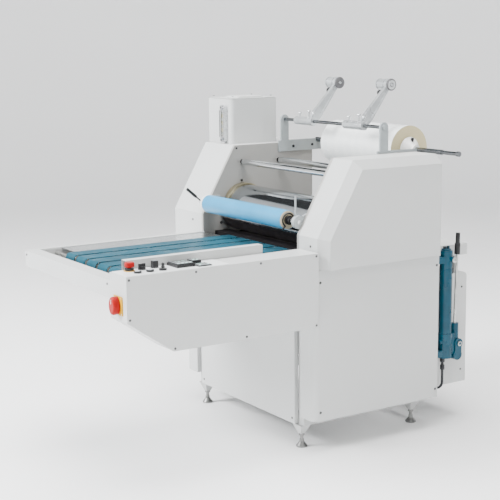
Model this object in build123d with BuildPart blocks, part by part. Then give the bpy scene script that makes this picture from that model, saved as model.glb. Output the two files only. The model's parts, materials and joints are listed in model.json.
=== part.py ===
from build123d import *
import math
import os

os.makedirs("parts", exist_ok=True)

# ---------------------------------------------------------------- driving dimensions (mm)
# X runs across the machine, Y from the feed side to the rear, Z up from the floor.
# The model is drawn from the middle of the clear width and the upper housings' front
# face, then moved so that the origin is at the bottom centre of the whole machine.
MOVE_X, MOVE_Y = 23.0, 16.0

CLEAR = 400.0                 # half the clear width between the side plates
PLATE = 15.0                  # side plate thickness
SHEET = 2.0                   # cover sheet thickness

HOUSING_REAR = 652.0
HOUSING_BOTTOM = 820.0
HOUSING_TOP = 1276.0
SLOPE_START_Z = 954.0
SLOPE_END_Y = 186.0
HOUSING_CHAMFER = 40.0
RIGHT_OUTER = 590.0
LEFT_OUTER = 718.0

FRAME_HALF = 447.0            # base frame, half width
FRAME_REAR = 658.0
FRAME_BOTTOM = 104.0
FRAME_TOP = 660.0
TUBE = 40.0                   # square tube of the base frame
FOOT_X = 410.0
FOOT_FRONT_Y = 13.0
FOOT_REAR_Y = 640.0
FOOT_TOP = 62.0

COVER_OUTER = 552.0           # lower side covers
COVER_FRONT = -20.0
COVER_REAR = 678.0
COVER_BOTTOM = 150.0
COVER_TOP = 818.0
COVER_ROUND = 30.0
PANEL_HALF = 404.0            # front panel between the lower covers

HOT_Y, HOT_Z = 230.0, 977.0   # heated roller
HOT_R = 108.0
HOT_HALF = 385.0
HOT_JOURNAL_R = 28.0
BEARING_R = 45.0
NIP_GAP = 0.4
PRESS_R = 75.0
PRESS_Z = HOT_Z - HOT_R - NIP_GAP - PRESS_R
PRESS_HALF = 372.0
PRESS_JOURNAL_R = 22.0
RUNNING = 0.05                # radial running clearance of a shaft in its bearing

TABLE_FRONT = -923.0
TABLE_TOP = 868.5
TABLE_BOTTOM = 796.0
BAR_DEPTH = 61.0
TABLE_LEFT = -410.0
RAIL_WIDTH = 22.0
BOX_INNER = 446.0             # control box
BOX_OUTER = 588.0
BOX_TOP = 900.0
BOX_FRONT_LOW = 720.0
BOX_SLOPE_END_Y = -722.0
BOX_BOTTOM = 581.0
PANEL_TOP = BOX_TOP + SHEET

BELT_COUNT = 6
BELT_PITCH = 107.0
BELT_FIRST_X = -191.5
BELT_WIDTH = 86.0
BELT_THICK = 2.0
PULLEY_R = 19.0
PULLEY_GAP = 0.3
BELT_Z = TABLE_TOP - BELT_THICK - PULLEY_GAP - PULLEY_R
BELT_FRONT_Y = -783.0
BELT_REAR_Y = 40.0
BELT_SHAFT_R = 8.0

FILM_Y, FILM_Z = 14.0, 1006.0           # blue film roll in front
FILM_R = 43.0
FILM_X0, FILM_X1 = -378.0, 310.0
FILM_SHAFT_R = 10.0
SUPPLY_Y, SUPPLY_Z = 680.0, 1281.0      # large supply roll at the rear top
SUPPLY_R = 108.0
SUPPLY_X0, SUPPLY_X1 = -215.0, 330.0
SUPPLY_SHAFT_R = 12.0

ROD_Y, ROD_Z, ROD_R = 478.0, 1393.0, 8.0
IDLE_R = 15.0
IDLE_HALF = 382.0
IDLE_FRONT = (228.0, 1195.0)
IDLE_REAR = (444.0, 1191.0)
ARM_HEAD_Y, ARM_HEAD_Z = 630.0, 1575.0
LEFT_ARM_X, RIGHT_ARM_X = -156.0, 240.0
SUPPLY_SHAFT_END = 672.0
ARM_COLLAR_LENGTH = 118.0

OIL_X0, OIL_X1 = -712.0, -480.0
OIL_Y0, OIL_Y1 = 218.0, 496.0
OIL_TOP = 1497.0

PUMP_X = 525.0
TUBE_Y, TUBE_R = 744.0, 29.5
LEVER_PIVOT_Y, LEVER_PIVOT_Z = 806.0, 385.0
PLUNGER_Y = 795.0
CASING_HALF = 470.0
CASING_REAR = 923.0


# ---------------------------------------------------------------- helpers
def save(builder, name):
    """Label a finished piece, move it to the machine's frame and write it."""
    piece = Pos(MOVE_X, MOVE_Y, 0) * builder.part
    piece.label = name
    export_step(piece, f"parts/{name}.step")


def block(x0, x1, y0, y1, z0, z1, mode=Mode.ADD):
    with Locations(((x0 + x1) / 2, (y0 + y1) / 2, (z0 + z1) / 2)):
        Box(x1 - x0, y1 - y0, z1 - z0, mode=mode)


def bar_x(x0, x1, y, z, radius, mode=Mode.ADD):
    with Locations(((x0 + x1) / 2, y, z)):
        Cylinder(radius, x1 - x0, rotation=(0, 90, 0), mode=mode)


def bar_y(y0, y1, x, z, radius, mode=Mode.ADD):
    with Locations((x, (y0 + y1) / 2, z)):
        Cylinder(radius, y1 - y0, rotation=(90, 0, 0), mode=mode)


def bar_z(z0, z1, x, y, radius, mode=Mode.ADD):
    with Locations((x, y, (z0 + z1) / 2)):
        Cylinder(radius, z1 - z0, mode=mode)


def side_prism(x0, x1, points, mode=Mode.ADD):
    """Extrude a closed outline of (y, z) points from x0 to x1."""
    with BuildSketch(Plane.YZ.offset(x0)) as outline:
        with BuildLine():
            Polyline(*points, close=True)
        make_face()
    extrude(outline.sketch, amount=x1 - x0, mode=mode)


def housing_outline(bottom):
    return [
        (0, bottom),
        (HOUSING_REAR, bottom),
        (HOUSING_REAR, HOUSING_TOP),
        (SLOPE_END_Y, HOUSING_TOP),
        (0, SLOPE_START_Z),
    ]


def belt_xs():
    return [BELT_FIRST_X + BELT_PITCH * i for i in range(BELT_COUNT)]


# ---------------------------------------------------------------- base and covers
def base_frame():
    """Welded square-tube frame with a tapered socket under each corner for a foot."""
    inner = FRAME_HALF - TUBE
    with BuildPart() as frame:
        for side in (-1, 1):
            x0, x1 = sorted((side * inner, side * FRAME_HALF))
            for y0 in (0, FRAME_REAR - TUBE):
                block(x0, x1, y0, y0 + TUBE, FRAME_BOTTOM, FRAME_TOP)
            for z0 in (FRAME_BOTTOM, FRAME_TOP - TUBE):
                block(x0, x1, 0, FRAME_REAR, z0, z0 + TUBE)
            ledge0, ledge1 = sorted((side * CLEAR, side * inner))
            block(ledge0, ledge1, 0, FRAME_REAR, FRAME_TOP - 8, FRAME_TOP)
        for y0 in (0, FRAME_REAR - TUBE):
            block(-FRAME_HALF, FRAME_HALF, y0, y0 + TUBE, FRAME_BOTTOM, FRAME_BOTTOM + TUBE)
        block(-FRAME_HALF, FRAME_HALF, FRAME_REAR - TUBE, FRAME_REAR, FRAME_TOP - TUBE, FRAME_TOP)
        block(-inner, inner, HOT_Y - 30, HOT_Y + 30, 380, 420)
        for side in (-1, 1):
            x0, x1 = sorted((side * inner, side * FRAME_HALF))
            block(x0, x1, 0, FRAME_REAR, 380, 420)
        for x in (-FOOT_X, FOOT_X):
            for y in (FOOT_FRONT_Y, FOOT_REAR_Y):
                with BuildSketch(Plane.XY.offset(FRAME_BOTTOM)) as top_pad:
                    with Locations((x, y)):
                        Rectangle(66, 54)
                with BuildSketch(Plane.XY.offset(FOOT_TOP)) as tip:
                    with Locations((x, y)):
                        Rectangle(24, 24)
                loft([top_pad.sketch.face(), tip.sketch.face()])
                bar_z(FOOT_TOP, FOOT_TOP + 30, x, y, 8, mode=Mode.SUBTRACT)
    save(frame, "base_frame")


def levelling_feet():
    """Four threaded feet with a conical pad and a lock nut."""
    with BuildPart() as feet:
        for x in (-FOOT_X, FOOT_X):
            for y in (FOOT_FRONT_Y, FOOT_REAR_Y):
                with BuildSketch(Plane.XZ.offset(-y)) as half:
                    with BuildLine():
                        Polyline((x, 0), (x + 25, 0), (x + 25, 6), (x + 12, 22), (x + 9, 36),
                                 (x + 7.9, 36), (x + 7.9, FOOT_TOP + 28), (x, FOOT_TOP + 28),
                                 close=True)
                    make_face()
                revolve(half.sketch, axis=Axis((x, y, 0), (0, 0, 1)))
                with BuildSketch(Plane.XY.offset(FOOT_TOP - 11)) as nut:
                    with Locations((x, y)):
                        RegularPolygon(13, 6)
                extrude(nut.sketch, amount=11)
    save(feet, "levelling_feet")


def front_panel():
    """Folded tray that closes the base between the lower covers."""
    bottom = 106.0
    top = 780.0
    with BuildPart() as panel:
        block(-PANEL_HALF, PANEL_HALF, COVER_FRONT, -0.5, bottom, top)
        block(-PANEL_HALF + SHEET, PANEL_HALF - SHEET, COVER_FRONT + SHEET, -0.5,
              bottom + SHEET, top - SHEET, mode=Mode.SUBTRACT)
        for x in (-PANEL_HALF + 1, PANEL_HALF - 13):
            block(x, x + 12, -SHEET, 0, bottom + 2, FRAME_TOP)
    save(panel, "front_panel")


def lower_cover(side, name):
    """Lower side cover, open towards the frame, with a rounded front edge."""
    x0, x1 = sorted((side * FRAME_HALF, side * COVER_OUTER))
    with BuildPart() as cover:
        block(x0, x1, COVER_FRONT, COVER_REAR, COVER_BOTTOM, COVER_TOP)
        front_edge = cover.edges().filter_by(Axis.Z).sort_by(lambda e: e.center().Y - side * e.center().X)[0]
        fillet(front_edge, COVER_ROUND)
        opening = cover.faces().filter_by(Axis.X).sort_by(Axis.X)[0 if side > 0 else -1]
        offset(amount=-SHEET, openings=opening)
        lip0, lip1 = sorted((side * FRAME_HALF, side * (FRAME_HALF + SHEET)))
        block(lip0, lip1, COVER_FRONT, 12, COVER_BOTTOM, COVER_TOP)
        if side > 0:
            bar_y(COVER_REAR - SHEET, COVER_REAR, PUMP_X, 182, 6.3, mode=Mode.SUBTRACT)
        for y, z in LOWER_SCREWS:
            hole0, hole1 = sorted((side * (COVER_OUTER - 3 * SHEET), side * COVER_OUTER))
            bar_x(hole0, hole1, y, z, 3.1, mode=Mode.SUBTRACT)
    save(cover, name)


LOWER_SCREWS = [(14, 764), (664, 770), (14, 190), (664, 190)]


def upper_housing(side, outer, name):
    """Upper side housing: sheet shell with a broad chamfer along front, slope and top."""
    x0, x1 = sorted((side * (CLEAR + PLATE), side * outer))
    with BuildPart() as housing:
        side_prism(x0, x1, housing_outline(HOUSING_BOTTOM))
        outer_face = housing.faces().filter_by(Axis.X).sort_by(Axis.X)[-1 if side > 0 else 0]
        ridge = [e for e in outer_face.edges()
                 if e.center().Z > HOUSING_BOTTOM + 1 and e.center().Y < HOUSING_REAR - 1]
        chamfer(ridge, HOUSING_CHAMFER)
        opening = housing.faces().filter_by(Axis.X).sort_by(Axis.X)[0 if side > 0 else -1]
        offset(amount=-SHEET, openings=opening)
    save(housing, name)


def side_plate(side, name):
    """Thick side plate with the bearing bores and the guide ribs of the lift carriage."""
    x0, x1 = sorted((side * CLEAR, side * (CLEAR + PLATE)))
    rib0, rib1 = sorted((side * (CLEAR - 14), side * CLEAR))
    with BuildPart() as plate:
        side_prism(x0, x1, housing_outline(FRAME_TOP))
        for y0 in (HOT_Y - 53, HOT_Y + 41):
            block(rib0, rib1, y0, y0 + 12, 700, 838)
        bar_x(x0, x1, HOT_Y, HOT_Z, BEARING_R, mode=Mode.SUBTRACT)
        bar_x(x0, x1, BELT_REAR_Y, BELT_Z, BELT_SHAFT_R + RUNNING, mode=Mode.SUBTRACT)
        for y, z in (IDLE_FRONT, IDLE_REAR):
            bar_x(x0, x1, y, z, 6.0, mode=Mode.SUBTRACT)
    save(plate, name)


def rear_casing():
    """Closed rear cabinet behind the base, rounded along its upper rear edge."""
    with BuildPart() as casing:
        block(-CASING_HALF, CASING_HALF, COVER_REAR, CASING_REAR, 170, 700)
        upper_edge = casing.edges().filter_by(Axis.X).sort_by(lambda e: -e.center().Y - e.center().Z)[0]
        fillet(upper_edge, 22)
        opening = casing.faces().filter_by(Axis.Y).sort_by(Axis.Y)[0]
        offset(amount=-SHEET, openings=opening)
        for z in range(260, 420, 20):
            block(-160, 160, CASING_REAR - SHEET, CASING_REAR, z, z + 6, mode=Mode.SUBTRACT)
    save(casing, "rear_casing")


def rear_tray():
    """Delivery shelf at the rear on two posts that stand on the rear casing."""
    with BuildPart() as tray:
        block(-440, 440, HOUSING_REAR, CASING_REAR, 783, 835)
        block(-CASING_HALF, CASING_HALF, COVER_REAR + 2, CASING_REAR, 783, 835)
        block(-437, 437, HOUSING_REAR + 3, COVER_REAR + 10, 783, 832, mode=Mode.SUBTRACT)
        block(-CASING_HALF + 3, CASING_HALF - 3, COVER_REAR + 5, CASING_REAR - 3, 783, 832,
              mode=Mode.SUBTRACT)
        for x in (-CASING_HALF + 3, CASING_HALF - 23):
            block(x, x + 20, 850, 870, 700, 832)
    save(tray, "rear_tray")


# ---------------------------------------------------------------- oil box
def oil_box():
    """Heat transfer oil box on the left housing, open at the top under its lid."""
    with BuildPart() as box:
        block(OIL_X0, OIL_X1, OIL_Y0, OIL_Y1, HOUSING_TOP, OIL_TOP)
        fillet(box.edges().filter_by(Axis.Z), 24)
        opening = box.faces().sort_by(Axis.Z)[-1]
        offset(amount=-SHEET, openings=opening)
    save(box, "oil_box")


def oil_box_lid():
    with BuildPart() as lid:
        with BuildSketch(Plane.XY.offset(OIL_TOP)) as plate:
            with Locations(((OIL_X0 + OIL_X1) / 2, (OIL_Y0 + OIL_Y1) / 2)):
                RectangleRounded(OIL_X1 - OIL_X0 - 14, OIL_Y1 - OIL_Y0 - 14, 20)
        extrude(plate.sketch, amount=3)
        with BuildSketch(Plane.XY.offset(OIL_TOP + 3)) as crown:
            with Locations(((OIL_X0 + OIL_X1) / 2, (OIL_Y0 + OIL_Y1) / 2 + 10)):
                RectangleRounded(130, 150, 12)
        extrude(crown.sketch, amount=7)
        fillet(lid.faces().sort_by(Axis.Z)[-1].edges(), 3)
    save(lid, "oil_box_lid")


def level_gauge():
    """Column level gauge: rounded frame, sight tube and two bolts."""
    x = -536.0
    z0, z1 = 1283.0, 1468.0
    with BuildPart() as gauge:
        with BuildSketch(Plane.XZ.offset(-OIL_Y0)) as body:
            with Locations((x, (z0 + z1) / 2)):
                RectangleRounded(38, z1 - z0, 12)
                RectangleRounded(20, 118, 9.9, mode=Mode.SUBTRACT)
        extrude(body.sketch, amount=20)
        for z in (z0 + 17, z1 - 17):
            bar_y(OIL_Y0 - 26, OIL_Y0 - 20, x, z, 8)
        bar_z((z0 + z1) / 2 - 58.9, (z0 + z1) / 2 + 58.9, x, OIL_Y0 - 10, 8)
    save(gauge, "level_gauge")


# ---------------------------------------------------------------- rollers and drive
def heated_roller():
    """Chrome-plated drum with journals; the left one carries the drive."""
    with BuildPart() as roller:
        bar_x(-HOT_HALF, HOT_HALF, HOT_Y, HOT_Z, HOT_R)
        bar_x(-522, 442, HOT_Y, HOT_Z, HOT_JOURNAL_R)
        rims = roller.edges().filter_by(GeomType.CIRCLE).filter_by(lambda e: abs(e.radius - HOT_R) < 0.1)
        fillet(rims, 4)
    save(roller, "heated_roller")


def roller_bearings():
    """Flanged bearings of the heated roller and the ring round its left end."""
    with BuildPart() as bearings:
        for side in (-1, 1):
            in0, in1 = sorted((side * CLEAR, side * (CLEAR + PLATE)))
            out0, out1 = sorted((side * (CLEAR + PLATE), side * (CLEAR + PLATE + 12)))
            bar_x(in0, in1, HOT_Y, HOT_Z, BEARING_R - RUNNING)
            bar_x(out0, out1, HOT_Y, HOT_Z, 62)
        bar_x(-CLEAR, -CLEAR + 32, HOT_Y, HOT_Z, HOT_R + 7)
        bar_x(-CLEAR + 10, -CLEAR + 32, HOT_Y, HOT_Z, HOT_R + 1, mode=Mode.SUBTRACT)
        bar_x(-430, 430, HOT_Y, HOT_Z, HOT_JOURNAL_R + RUNNING, mode=Mode.SUBTRACT)
    save(bearings, "roller_bearings")


def gear_motor():
    """Shaft-mounted gearbox on the left journal with its motor lying towards the rear."""
    with BuildPart() as motor:
        block(-522, -442, HOT_Y - 66, HOT_Y + 66, HOT_Z - 66, HOT_Z + 66)
        fillet(motor.edges().filter_by(Axis.X), 14)
        bar_x(-522, -442, HOT_Y, HOT_Z, HOT_JOURNAL_R + 0.3, mode=Mode.SUBTRACT)
        bar_y(HOT_Y + 66, HOT_Y + 250, -482, HOT_Z, 50)
        bar_y(HOT_Y + 250, HOT_Y + 285, -482, HOT_Z, 46)
        block(-515, -450, HOT_Y + 110, HOT_Y + 180, HOT_Z + 45, HOT_Z + 72)
        for y, z in ((HOT_Y - 53, HOT_Z - 53), (HOT_Y + 53, HOT_Z + 53)):
            bar_x(-442, -CLEAR - PLATE, y, z, 8)
    save(motor, "gear_motor")


def pressure_roller():
    with BuildPart() as core:
        bar_x(-PRESS_HALF, PRESS_HALF, HOT_Y, PRESS_Z, PRESS_R - 10)
        bar_x(-396, 396, HOT_Y, PRESS_Z, PRESS_JOURNAL_R)
        bar_x(-PRESS_HALF + 4, PRESS_HALF - 4, HOT_Y, PRESS_Z, PRESS_R)
    save(core, "pressure_roller")


def lift_carriage():
    """Two bearing carriers on a cross beam, pushed up by the rods of two hydraulic jacks."""
    with BuildPart() as carriage:
        block(-397, 397, HOT_Y - 30, HOT_Y + 30, 600, 640)
        for side in (-1, 1):
            x0, x1 = sorted((side * 380, side * 397))
            block(x0, x1, HOT_Y - 40.5, HOT_Y + 40.5, 640, 836)
            bar_z(480, 600, side * 240, HOT_Y, 14)
        bar_x(-397, 397, HOT_Y, PRESS_Z, PRESS_JOURNAL_R + RUNNING, mode=Mode.SUBTRACT)
    save(carriage, "lift_carriage")
    with BuildPart() as jacks:
        for x in (-240, 240):
            bar_z(420, 570, x, HOT_Y, 34)
            bar_z(460, 570, x, HOT_Y, 14 + RUNNING, mode=Mode.SUBTRACT)
            bar_y(HOT_Y - 48, HOT_Y - 30, x, 450, 7)
    save(jacks, "lift_jacks")


def nip_guard():
    """Curved black guard in front of the heated roller, with a bright edge strip."""
    inner, outer = HOT_R + 18, HOT_R + 21
    start, end = math.radians(197), math.radians(233)
    middle = (start + end) / 2

    def on_arc(radius, angle):
        return (HOT_Y + radius * math.cos(angle), HOT_Z + radius * math.sin(angle))

    with BuildPart() as guard:
        with BuildSketch(Plane.YZ.offset(-CLEAR)) as arc:
            with BuildLine():
                ThreePointArc(on_arc(inner, start), on_arc(inner, middle), on_arc(inner, end))
                Line(on_arc(inner, end), on_arc(outer, end))
                ThreePointArc(on_arc(outer, end), on_arc(outer, middle), on_arc(outer, start))
                Line(on_arc(outer, start), on_arc(inner, start))
            make_face()
        extrude(arc.sketch, amount=2 * CLEAR)
        tip_y, tip_z = on_arc(outer, start + math.radians(2))
        block(-CLEAR, CLEAR, tip_y - 9, tip_y + 3, tip_z + 2, tip_z + 5)
    save(guard, "nip_guard")


# ---------------------------------------------------------------- film rolls, rods and arms
def tube_x(x0, x1, y, z, outer, inner):
    bar_x(x0, x1, y, z, outer)
    bar_x(x0, x1, y, z, inner, mode=Mode.SUBTRACT)


def front_film_roll():
    with BuildPart() as film:
        bar_x(FILM_X0 + 9, FILM_X1 - 3, FILM_Y, FILM_Z, FILM_R)
        tube_x(FILM_X0, FILM_X1, FILM_Y, FILM_Z, 40, 20)
    with BuildPart() as shaft:
        bar_x(-428, 399, FILM_Y, FILM_Z, FILM_SHAFT_R)
        for x0, x1 in ((FILM_X0 - 6, FILM_X0 + 22), (FILM_X1 - 22, FILM_X1 + 14)):
            bar_x(x0, x1, FILM_Y, FILM_Z, 20)
        bar_x(FILM_X1 + 14, FILM_X1 + 30, FILM_Y, FILM_Z, 15)
        bar_x(358, 372, FILM_Y, FILM_Z, 17)
    save(film, "blue_film_roll")
    save(shaft, "blue_film_shaft")


def film_brackets():
    """Two cheeks on the side plates that hold the front film shaft in open seats."""
    with BuildPart() as brackets:
        for side in (-1, 1):
            x0, x1 = sorted((side * (CLEAR - 12), side * CLEAR))
            outline = [(92, 985), (92, 1040), (52, 1040), (FILM_Y + 4, 1024), (FILM_Y - 20, 1018),
                       (FILM_Y - 20, 992), (FILM_Y, 985)]
            side_prism(x0, x1, outline)
            if side > 0:
                bar_x(CLEAR - 20, CLEAR, FILM_Y, FILM_Z, 30)
                bar_z(FILM_Z + 15, 1118, CLEAR - 14, FILM_Y - 12, 4)
            bar_x(-CLEAR, CLEAR, FILM_Y, FILM_Z, FILM_SHAFT_R + RUNNING, mode=Mode.SUBTRACT)
    save(brackets, "film_brackets")


def film_clamp_lever():
    """Lever on the left end of the front shaft that locks the roll's brake."""
    reach = 112.0
    rise = math.radians(140)
    tip = (FILM_Y + reach * math.cos(rise), FILM_Z + reach * math.sin(rise))
    with BuildPart() as lever:
        bar_x(-437, -417, FILM_Y, FILM_Z, 13)
        with BuildLine() as path:
            Line((-427, FILM_Y, FILM_Z), (-427, *tip))
        with BuildSketch(Plane(origin=path.line @ 0, z_dir=path.line % 0)) as rod:
            Circle(4)
        extrude(rod.sketch, amount=reach)
        with BuildSketch(Plane(origin=path.line @ 0.42, z_dir=path.line % 0)) as grip:
            Circle(7.5)
        extrude(grip.sketch, amount=reach * 0.58)
        bar_x(-437, -400, FILM_Y, FILM_Z, FILM_SHAFT_R + RUNNING, mode=Mode.SUBTRACT)
    save(lever, "film_clamp_lever")


def supply_roll():
    with BuildPart() as film:
        bar_x(SUPPLY_X0, SUPPLY_X1, SUPPLY_Y, SUPPLY_Z, SUPPLY_R)
        tube_x(SUPPLY_X0 - 4, SUPPLY_X1 + 4, SUPPLY_Y, SUPPLY_Z, 44, 38)
    save(film, "supply_film_roll")
    with BuildPart() as shaft:
        bar_x(-CLEAR, 560, SUPPLY_Y, SUPPLY_Z, SUPPLY_SHAFT_R)
        bar_x(560, SUPPLY_SHAFT_END - 12, SUPPLY_Y, SUPPLY_Z, 9)
        bar_x(SUPPLY_SHAFT_END - 12, SUPPLY_SHAFT_END, SUPPLY_Y, SUPPLY_Z, 12)
        for x_end, sign in ((SUPPLY_X0, -1), (SUPPLY_X1, 1)):
            near0, near1 = sorted((x_end - sign * 20, x_end + sign * 4))
            bar_x(near0, near1, SUPPLY_Y, SUPPLY_Z, 37.7)
            with BuildSketch(Plane(origin=(x_end + sign * 4, SUPPLY_Y, SUPPLY_Z), z_dir=(sign, 0, 0))) as base:
                Circle(56)
            with BuildSketch(Plane(origin=(x_end + sign * 40, SUPPLY_Y, SUPPLY_Z), z_dir=(sign, 0, 0))) as nose:
                Circle(22)
            loft([base.sketch.face(), nose.sketch.face()])
            near0, near1 = sorted((x_end + sign * 40, x_end + sign * 54))
            bar_x(near0, near1, SUPPLY_Y, SUPPLY_Z, 22)
    save(shaft, "supply_shaft")


def roll_brackets():
    """L plates on the side plates: cross rod on top, supply shaft in an open seat."""
    seat = SUPPLY_SHAFT_R + RUNNING
    with BuildPart() as bracket:
        for side in (-1, 1):
            x0, x1 = sorted((side * (CLEAR - 10), side * CLEAR))
            block(x0, x1, 442, 706, 1232, 1288)
            block(x0, x1, ROD_Y - 23, ROD_Y + 23, 1288, ROD_Z)
            bar_x(x0, x1, ROD_Y, ROD_Z, 23)
            bar_x(x0, x1, SUPPLY_Y, SUPPLY_Z, seat, mode=Mode.SUBTRACT)
            block(x0, x1, SUPPLY_Y - seat, SUPPLY_Y + seat, SUPPLY_Z, 1290, mode=Mode.SUBTRACT)
        bar_x(-CLEAR, CLEAR, ROD_Y, ROD_Z, ROD_R)
        for x0, x1 in ((-CLEAR - 6, -CLEAR), (CLEAR, CLEAR + 6)):
            bar_x(x0, x1, ROD_Y, ROD_Z, 12)
    save(bracket, "roll_brackets")


def idle_roller(place, name):
    """Polished tube that runs on a stud at each end."""
    y, z = place
    with BuildPart() as roller:
        bar_x(-IDLE_HALF, IDLE_HALF, y, z, IDLE_R)
        for x0, x1 in ((-IDLE_HALF, -IDLE_HALF + 20), (IDLE_HALF - 20, IDLE_HALF)):
            bar_x(x0, x1, y, z, 6 + RUNNING, mode=Mode.SUBTRACT)
    save(roller, name)


def idler_studs():
    """Studs of the idle rollers and button heads on the inner faces of the side plates."""
    plain = [(224, 1103), (102, 903), (196, 1262), (529, 1256), (645, 1258)]
    with BuildPart() as bolts:
        for side in (-1, 1):
            for y, z in (IDLE_FRONT, IDLE_REAR):
                x0, x1 = sorted((side * (IDLE_HALF - 17), side * (CLEAR + PLATE)))
                bar_x(x0, x1, y, z, 5.95)
                x0, x1 = sorted((side * (IDLE_HALF + 1), side * CLEAR))
                bar_x(x0, x1, y, z, 12)
            for y, z in plain:
                seat = CLEAR - 10 if y > 500 else CLEAR
                x0, x1 = sorted((side * (seat - 5), side * seat))
                bar_x(x0, x1, y, z, 7 if y != 196 else 5)
    save(bolts, "wall_bolts")


def trim_arm(x, prefix):
    """Swinging arm on the cross rod: clamp collar, tapered arm with a barrel head, disc."""
    dy, dz = ARM_HEAD_Y - ROD_Y, ARM_HEAD_Z - ROD_Z
    reach = math.hypot(dy, dz)
    along = (dy / reach, dz / reach)
    across = (-along[1], along[0])

    def at(distance, offset_across):
        return (ROD_Y + along[0] * distance + across[0] * offset_across,
                ROD_Z + along[1] * distance + across[1] * offset_across)

    with BuildPart() as arm:
        bar_x(x - 16 - ARM_COLLAR_LENGTH, x - 16, ROD_Y, ROD_Z, 20)
        chamfer(arm.edges().filter_by(GeomType.CIRCLE), 5)
        for offset_x, rise in ((-101, 32), (-26, 44), (12, 34)):
            bar_z(ROD_Z + 16, ROD_Z + rise, x + offset_x, ROD_Y, 3)
            bar_z(ROD_Z + rise, ROD_Z + rise + 8, x + offset_x, ROD_Y, 7)
        bar_x(x - 16, x + 16, ROD_Y, ROD_Z, 21)
        side_prism(x - 8, x + 8, [at(10, 21), at(42, 27), at(reach - 14, 12), at(reach - 14, -12),
                                  at(42, -25), at(10, -20)])
        side_prism(x + 3, x + 8, [at(56, 18), at(reach - 40, 8), at(reach - 40, -8), at(56, -17)],
                   mode=Mode.SUBTRACT)
        bar_x(x - 66, x + 12, ARM_HEAD_Y, ARM_HEAD_Z, 26)
        bar_x(x + 12, x + 24, ARM_HEAD_Y, ARM_HEAD_Z, 6)
        knob_y, knob_z = at(reach - 48, 0)
        bar_x(x - 26, x - 8, knob_y, knob_z, 9)
        bar_x(x - 200, x + 16, ROD_Y, ROD_Z, ROD_R + RUNNING, mode=Mode.SUBTRACT)
    save(arm, f"{prefix}_trim_arm")

    with BuildPart() as disc:
        bar_x(x + 14, x + 22, ARM_HEAD_Y, ARM_HEAD_Z, 28)
        fillet(disc.edges().filter_by(GeomType.CIRCLE), 2)
        bar_x(x + 13, x + 23, ARM_HEAD_Y, ARM_HEAD_Z, 12)
        bar_x(x + 12, x + 24, ARM_HEAD_Y, ARM_HEAD_Z, 6 + RUNNING, mode=Mode.SUBTRACT)
    save(disc, f"{prefix}_trim_wheel")


# ---------------------------------------------------------------- feed table
def table_rails():
    bar_rear = TABLE_FRONT + BAR_DEPTH
    with BuildPart() as front_bar:
        block(TABLE_LEFT, BOX_INNER, TABLE_FRONT, bar_rear, TABLE_BOTTOM, TABLE_TOP)
        block(TABLE_LEFT + 3, BOX_INNER, TABLE_FRONT + 3, bar_rear - 3,
              TABLE_BOTTOM + 3, TABLE_TOP - 3, mode=Mode.SUBTRACT)
        block(TABLE_LEFT, TABLE_LEFT + RAIL_WIDTH, bar_rear, 0, TABLE_BOTTOM, TABLE_TOP)
        block(TABLE_LEFT + 2, TABLE_LEFT + RAIL_WIDTH - 2, bar_rear + 2, -2,
              TABLE_BOTTOM, TABLE_TOP - 2, mode=Mode.SUBTRACT)
    save(front_bar, "table_frame")


def table_bed():
    """Shallow tray under the belts that carries the plate and the front belt shaft."""
    front, rear = TABLE_FRONT + BAR_DEPTH, -1.0
    left, right = TABLE_LEFT + RAIL_WIDTH, BOX_INNER
    with BuildPart() as bed:
        block(left, right, front, rear, TABLE_BOTTOM, TABLE_BOTTOM + 3)
        for x0 in (left, right - 4):
            block(x0, x0 + 4, front, rear, TABLE_BOTTOM + 3, TABLE_TOP - 4.5)
        for y0 in (-560, -300, -40):
            block(left + 4, right - 4, y0, y0 + 20, TABLE_BOTTOM + 3, TABLE_BOTTOM + 20)
        bar_x(left, left + 4, BELT_FRONT_Y, BELT_Z, BELT_SHAFT_R + RUNNING, mode=Mode.SUBTRACT)
        bar_x(right - 4, right, BELT_FRONT_Y, BELT_Z, BELT_SHAFT_R + RUNNING, mode=Mode.SUBTRACT)
    save(bed, "table_bed")


def table_plate():
    """Polished table plate, and the infeed plate between the belts and the rollers."""
    top = TABLE_TOP - BELT_THICK - 0.5
    with BuildPart() as plate:
        block(TABLE_LEFT + RAIL_WIDTH, BOX_INNER, -755, -1, top - 2, top)
        block(-CLEAR, CLEAR, 66, 146, top - 3, top)
        block(-CLEAR, CLEAR, 66, 69, top - 22, top - 3)
    save(plate, "table_plates")


def feed_belts():
    reach = BELT_REAR_Y - BELT_FRONT_Y
    inner = PULLEY_R + PULLEY_GAP
    outer = inner + BELT_THICK
    with BuildPart() as belts:
        for x in belt_xs():
            with BuildSketch(Plane.YZ.offset(x - BELT_WIDTH / 2)) as loop:
                with Locations(((BELT_REAR_Y + BELT_FRONT_Y) / 2, BELT_Z)):
                    SlotCenterToCenter(reach, 2 * outer)
                    SlotCenterToCenter(reach, 2 * inner, mode=Mode.SUBTRACT)
            extrude(loop.sketch, amount=BELT_WIDTH)
    save(belts, "feed_belts")


def belt_roller(y, x0, x1, name):
    """Shaft with one crowned pulley for each belt."""
    with BuildPart() as roller:
        bar_x(x0, x1, y, BELT_Z, BELT_SHAFT_R)
        for x in belt_xs():
            bar_x(x - BELT_WIDTH / 2 - 2, x + BELT_WIDTH / 2 + 2, y, BELT_Z, PULLEY_R)
    save(roller, name)


def side_guide():
    """Side lay: a channel that slides across the table."""
    x0, x1 = 404.0, 440.0
    with BuildPart() as guide:
        block(x0, x1, -848, -205, TABLE_TOP + 1, 936)
        block(x0 + 2.5, x1 - 2.5, -848, -205, TABLE_TOP + 1, 933.5, mode=Mode.SUBTRACT)
    save(guide, "side_guide")


# ---------------------------------------------------------------- control box
def box_outline():
    return [
        (TABLE_FRONT, BOX_FRONT_LOW),
        (BOX_SLOPE_END_Y, BOX_BOTTOM),
        (COVER_FRONT, BOX_BOTTOM),
        (COVER_FRONT, BOX_TOP),
        (TABLE_FRONT, BOX_TOP),
    ]


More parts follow.
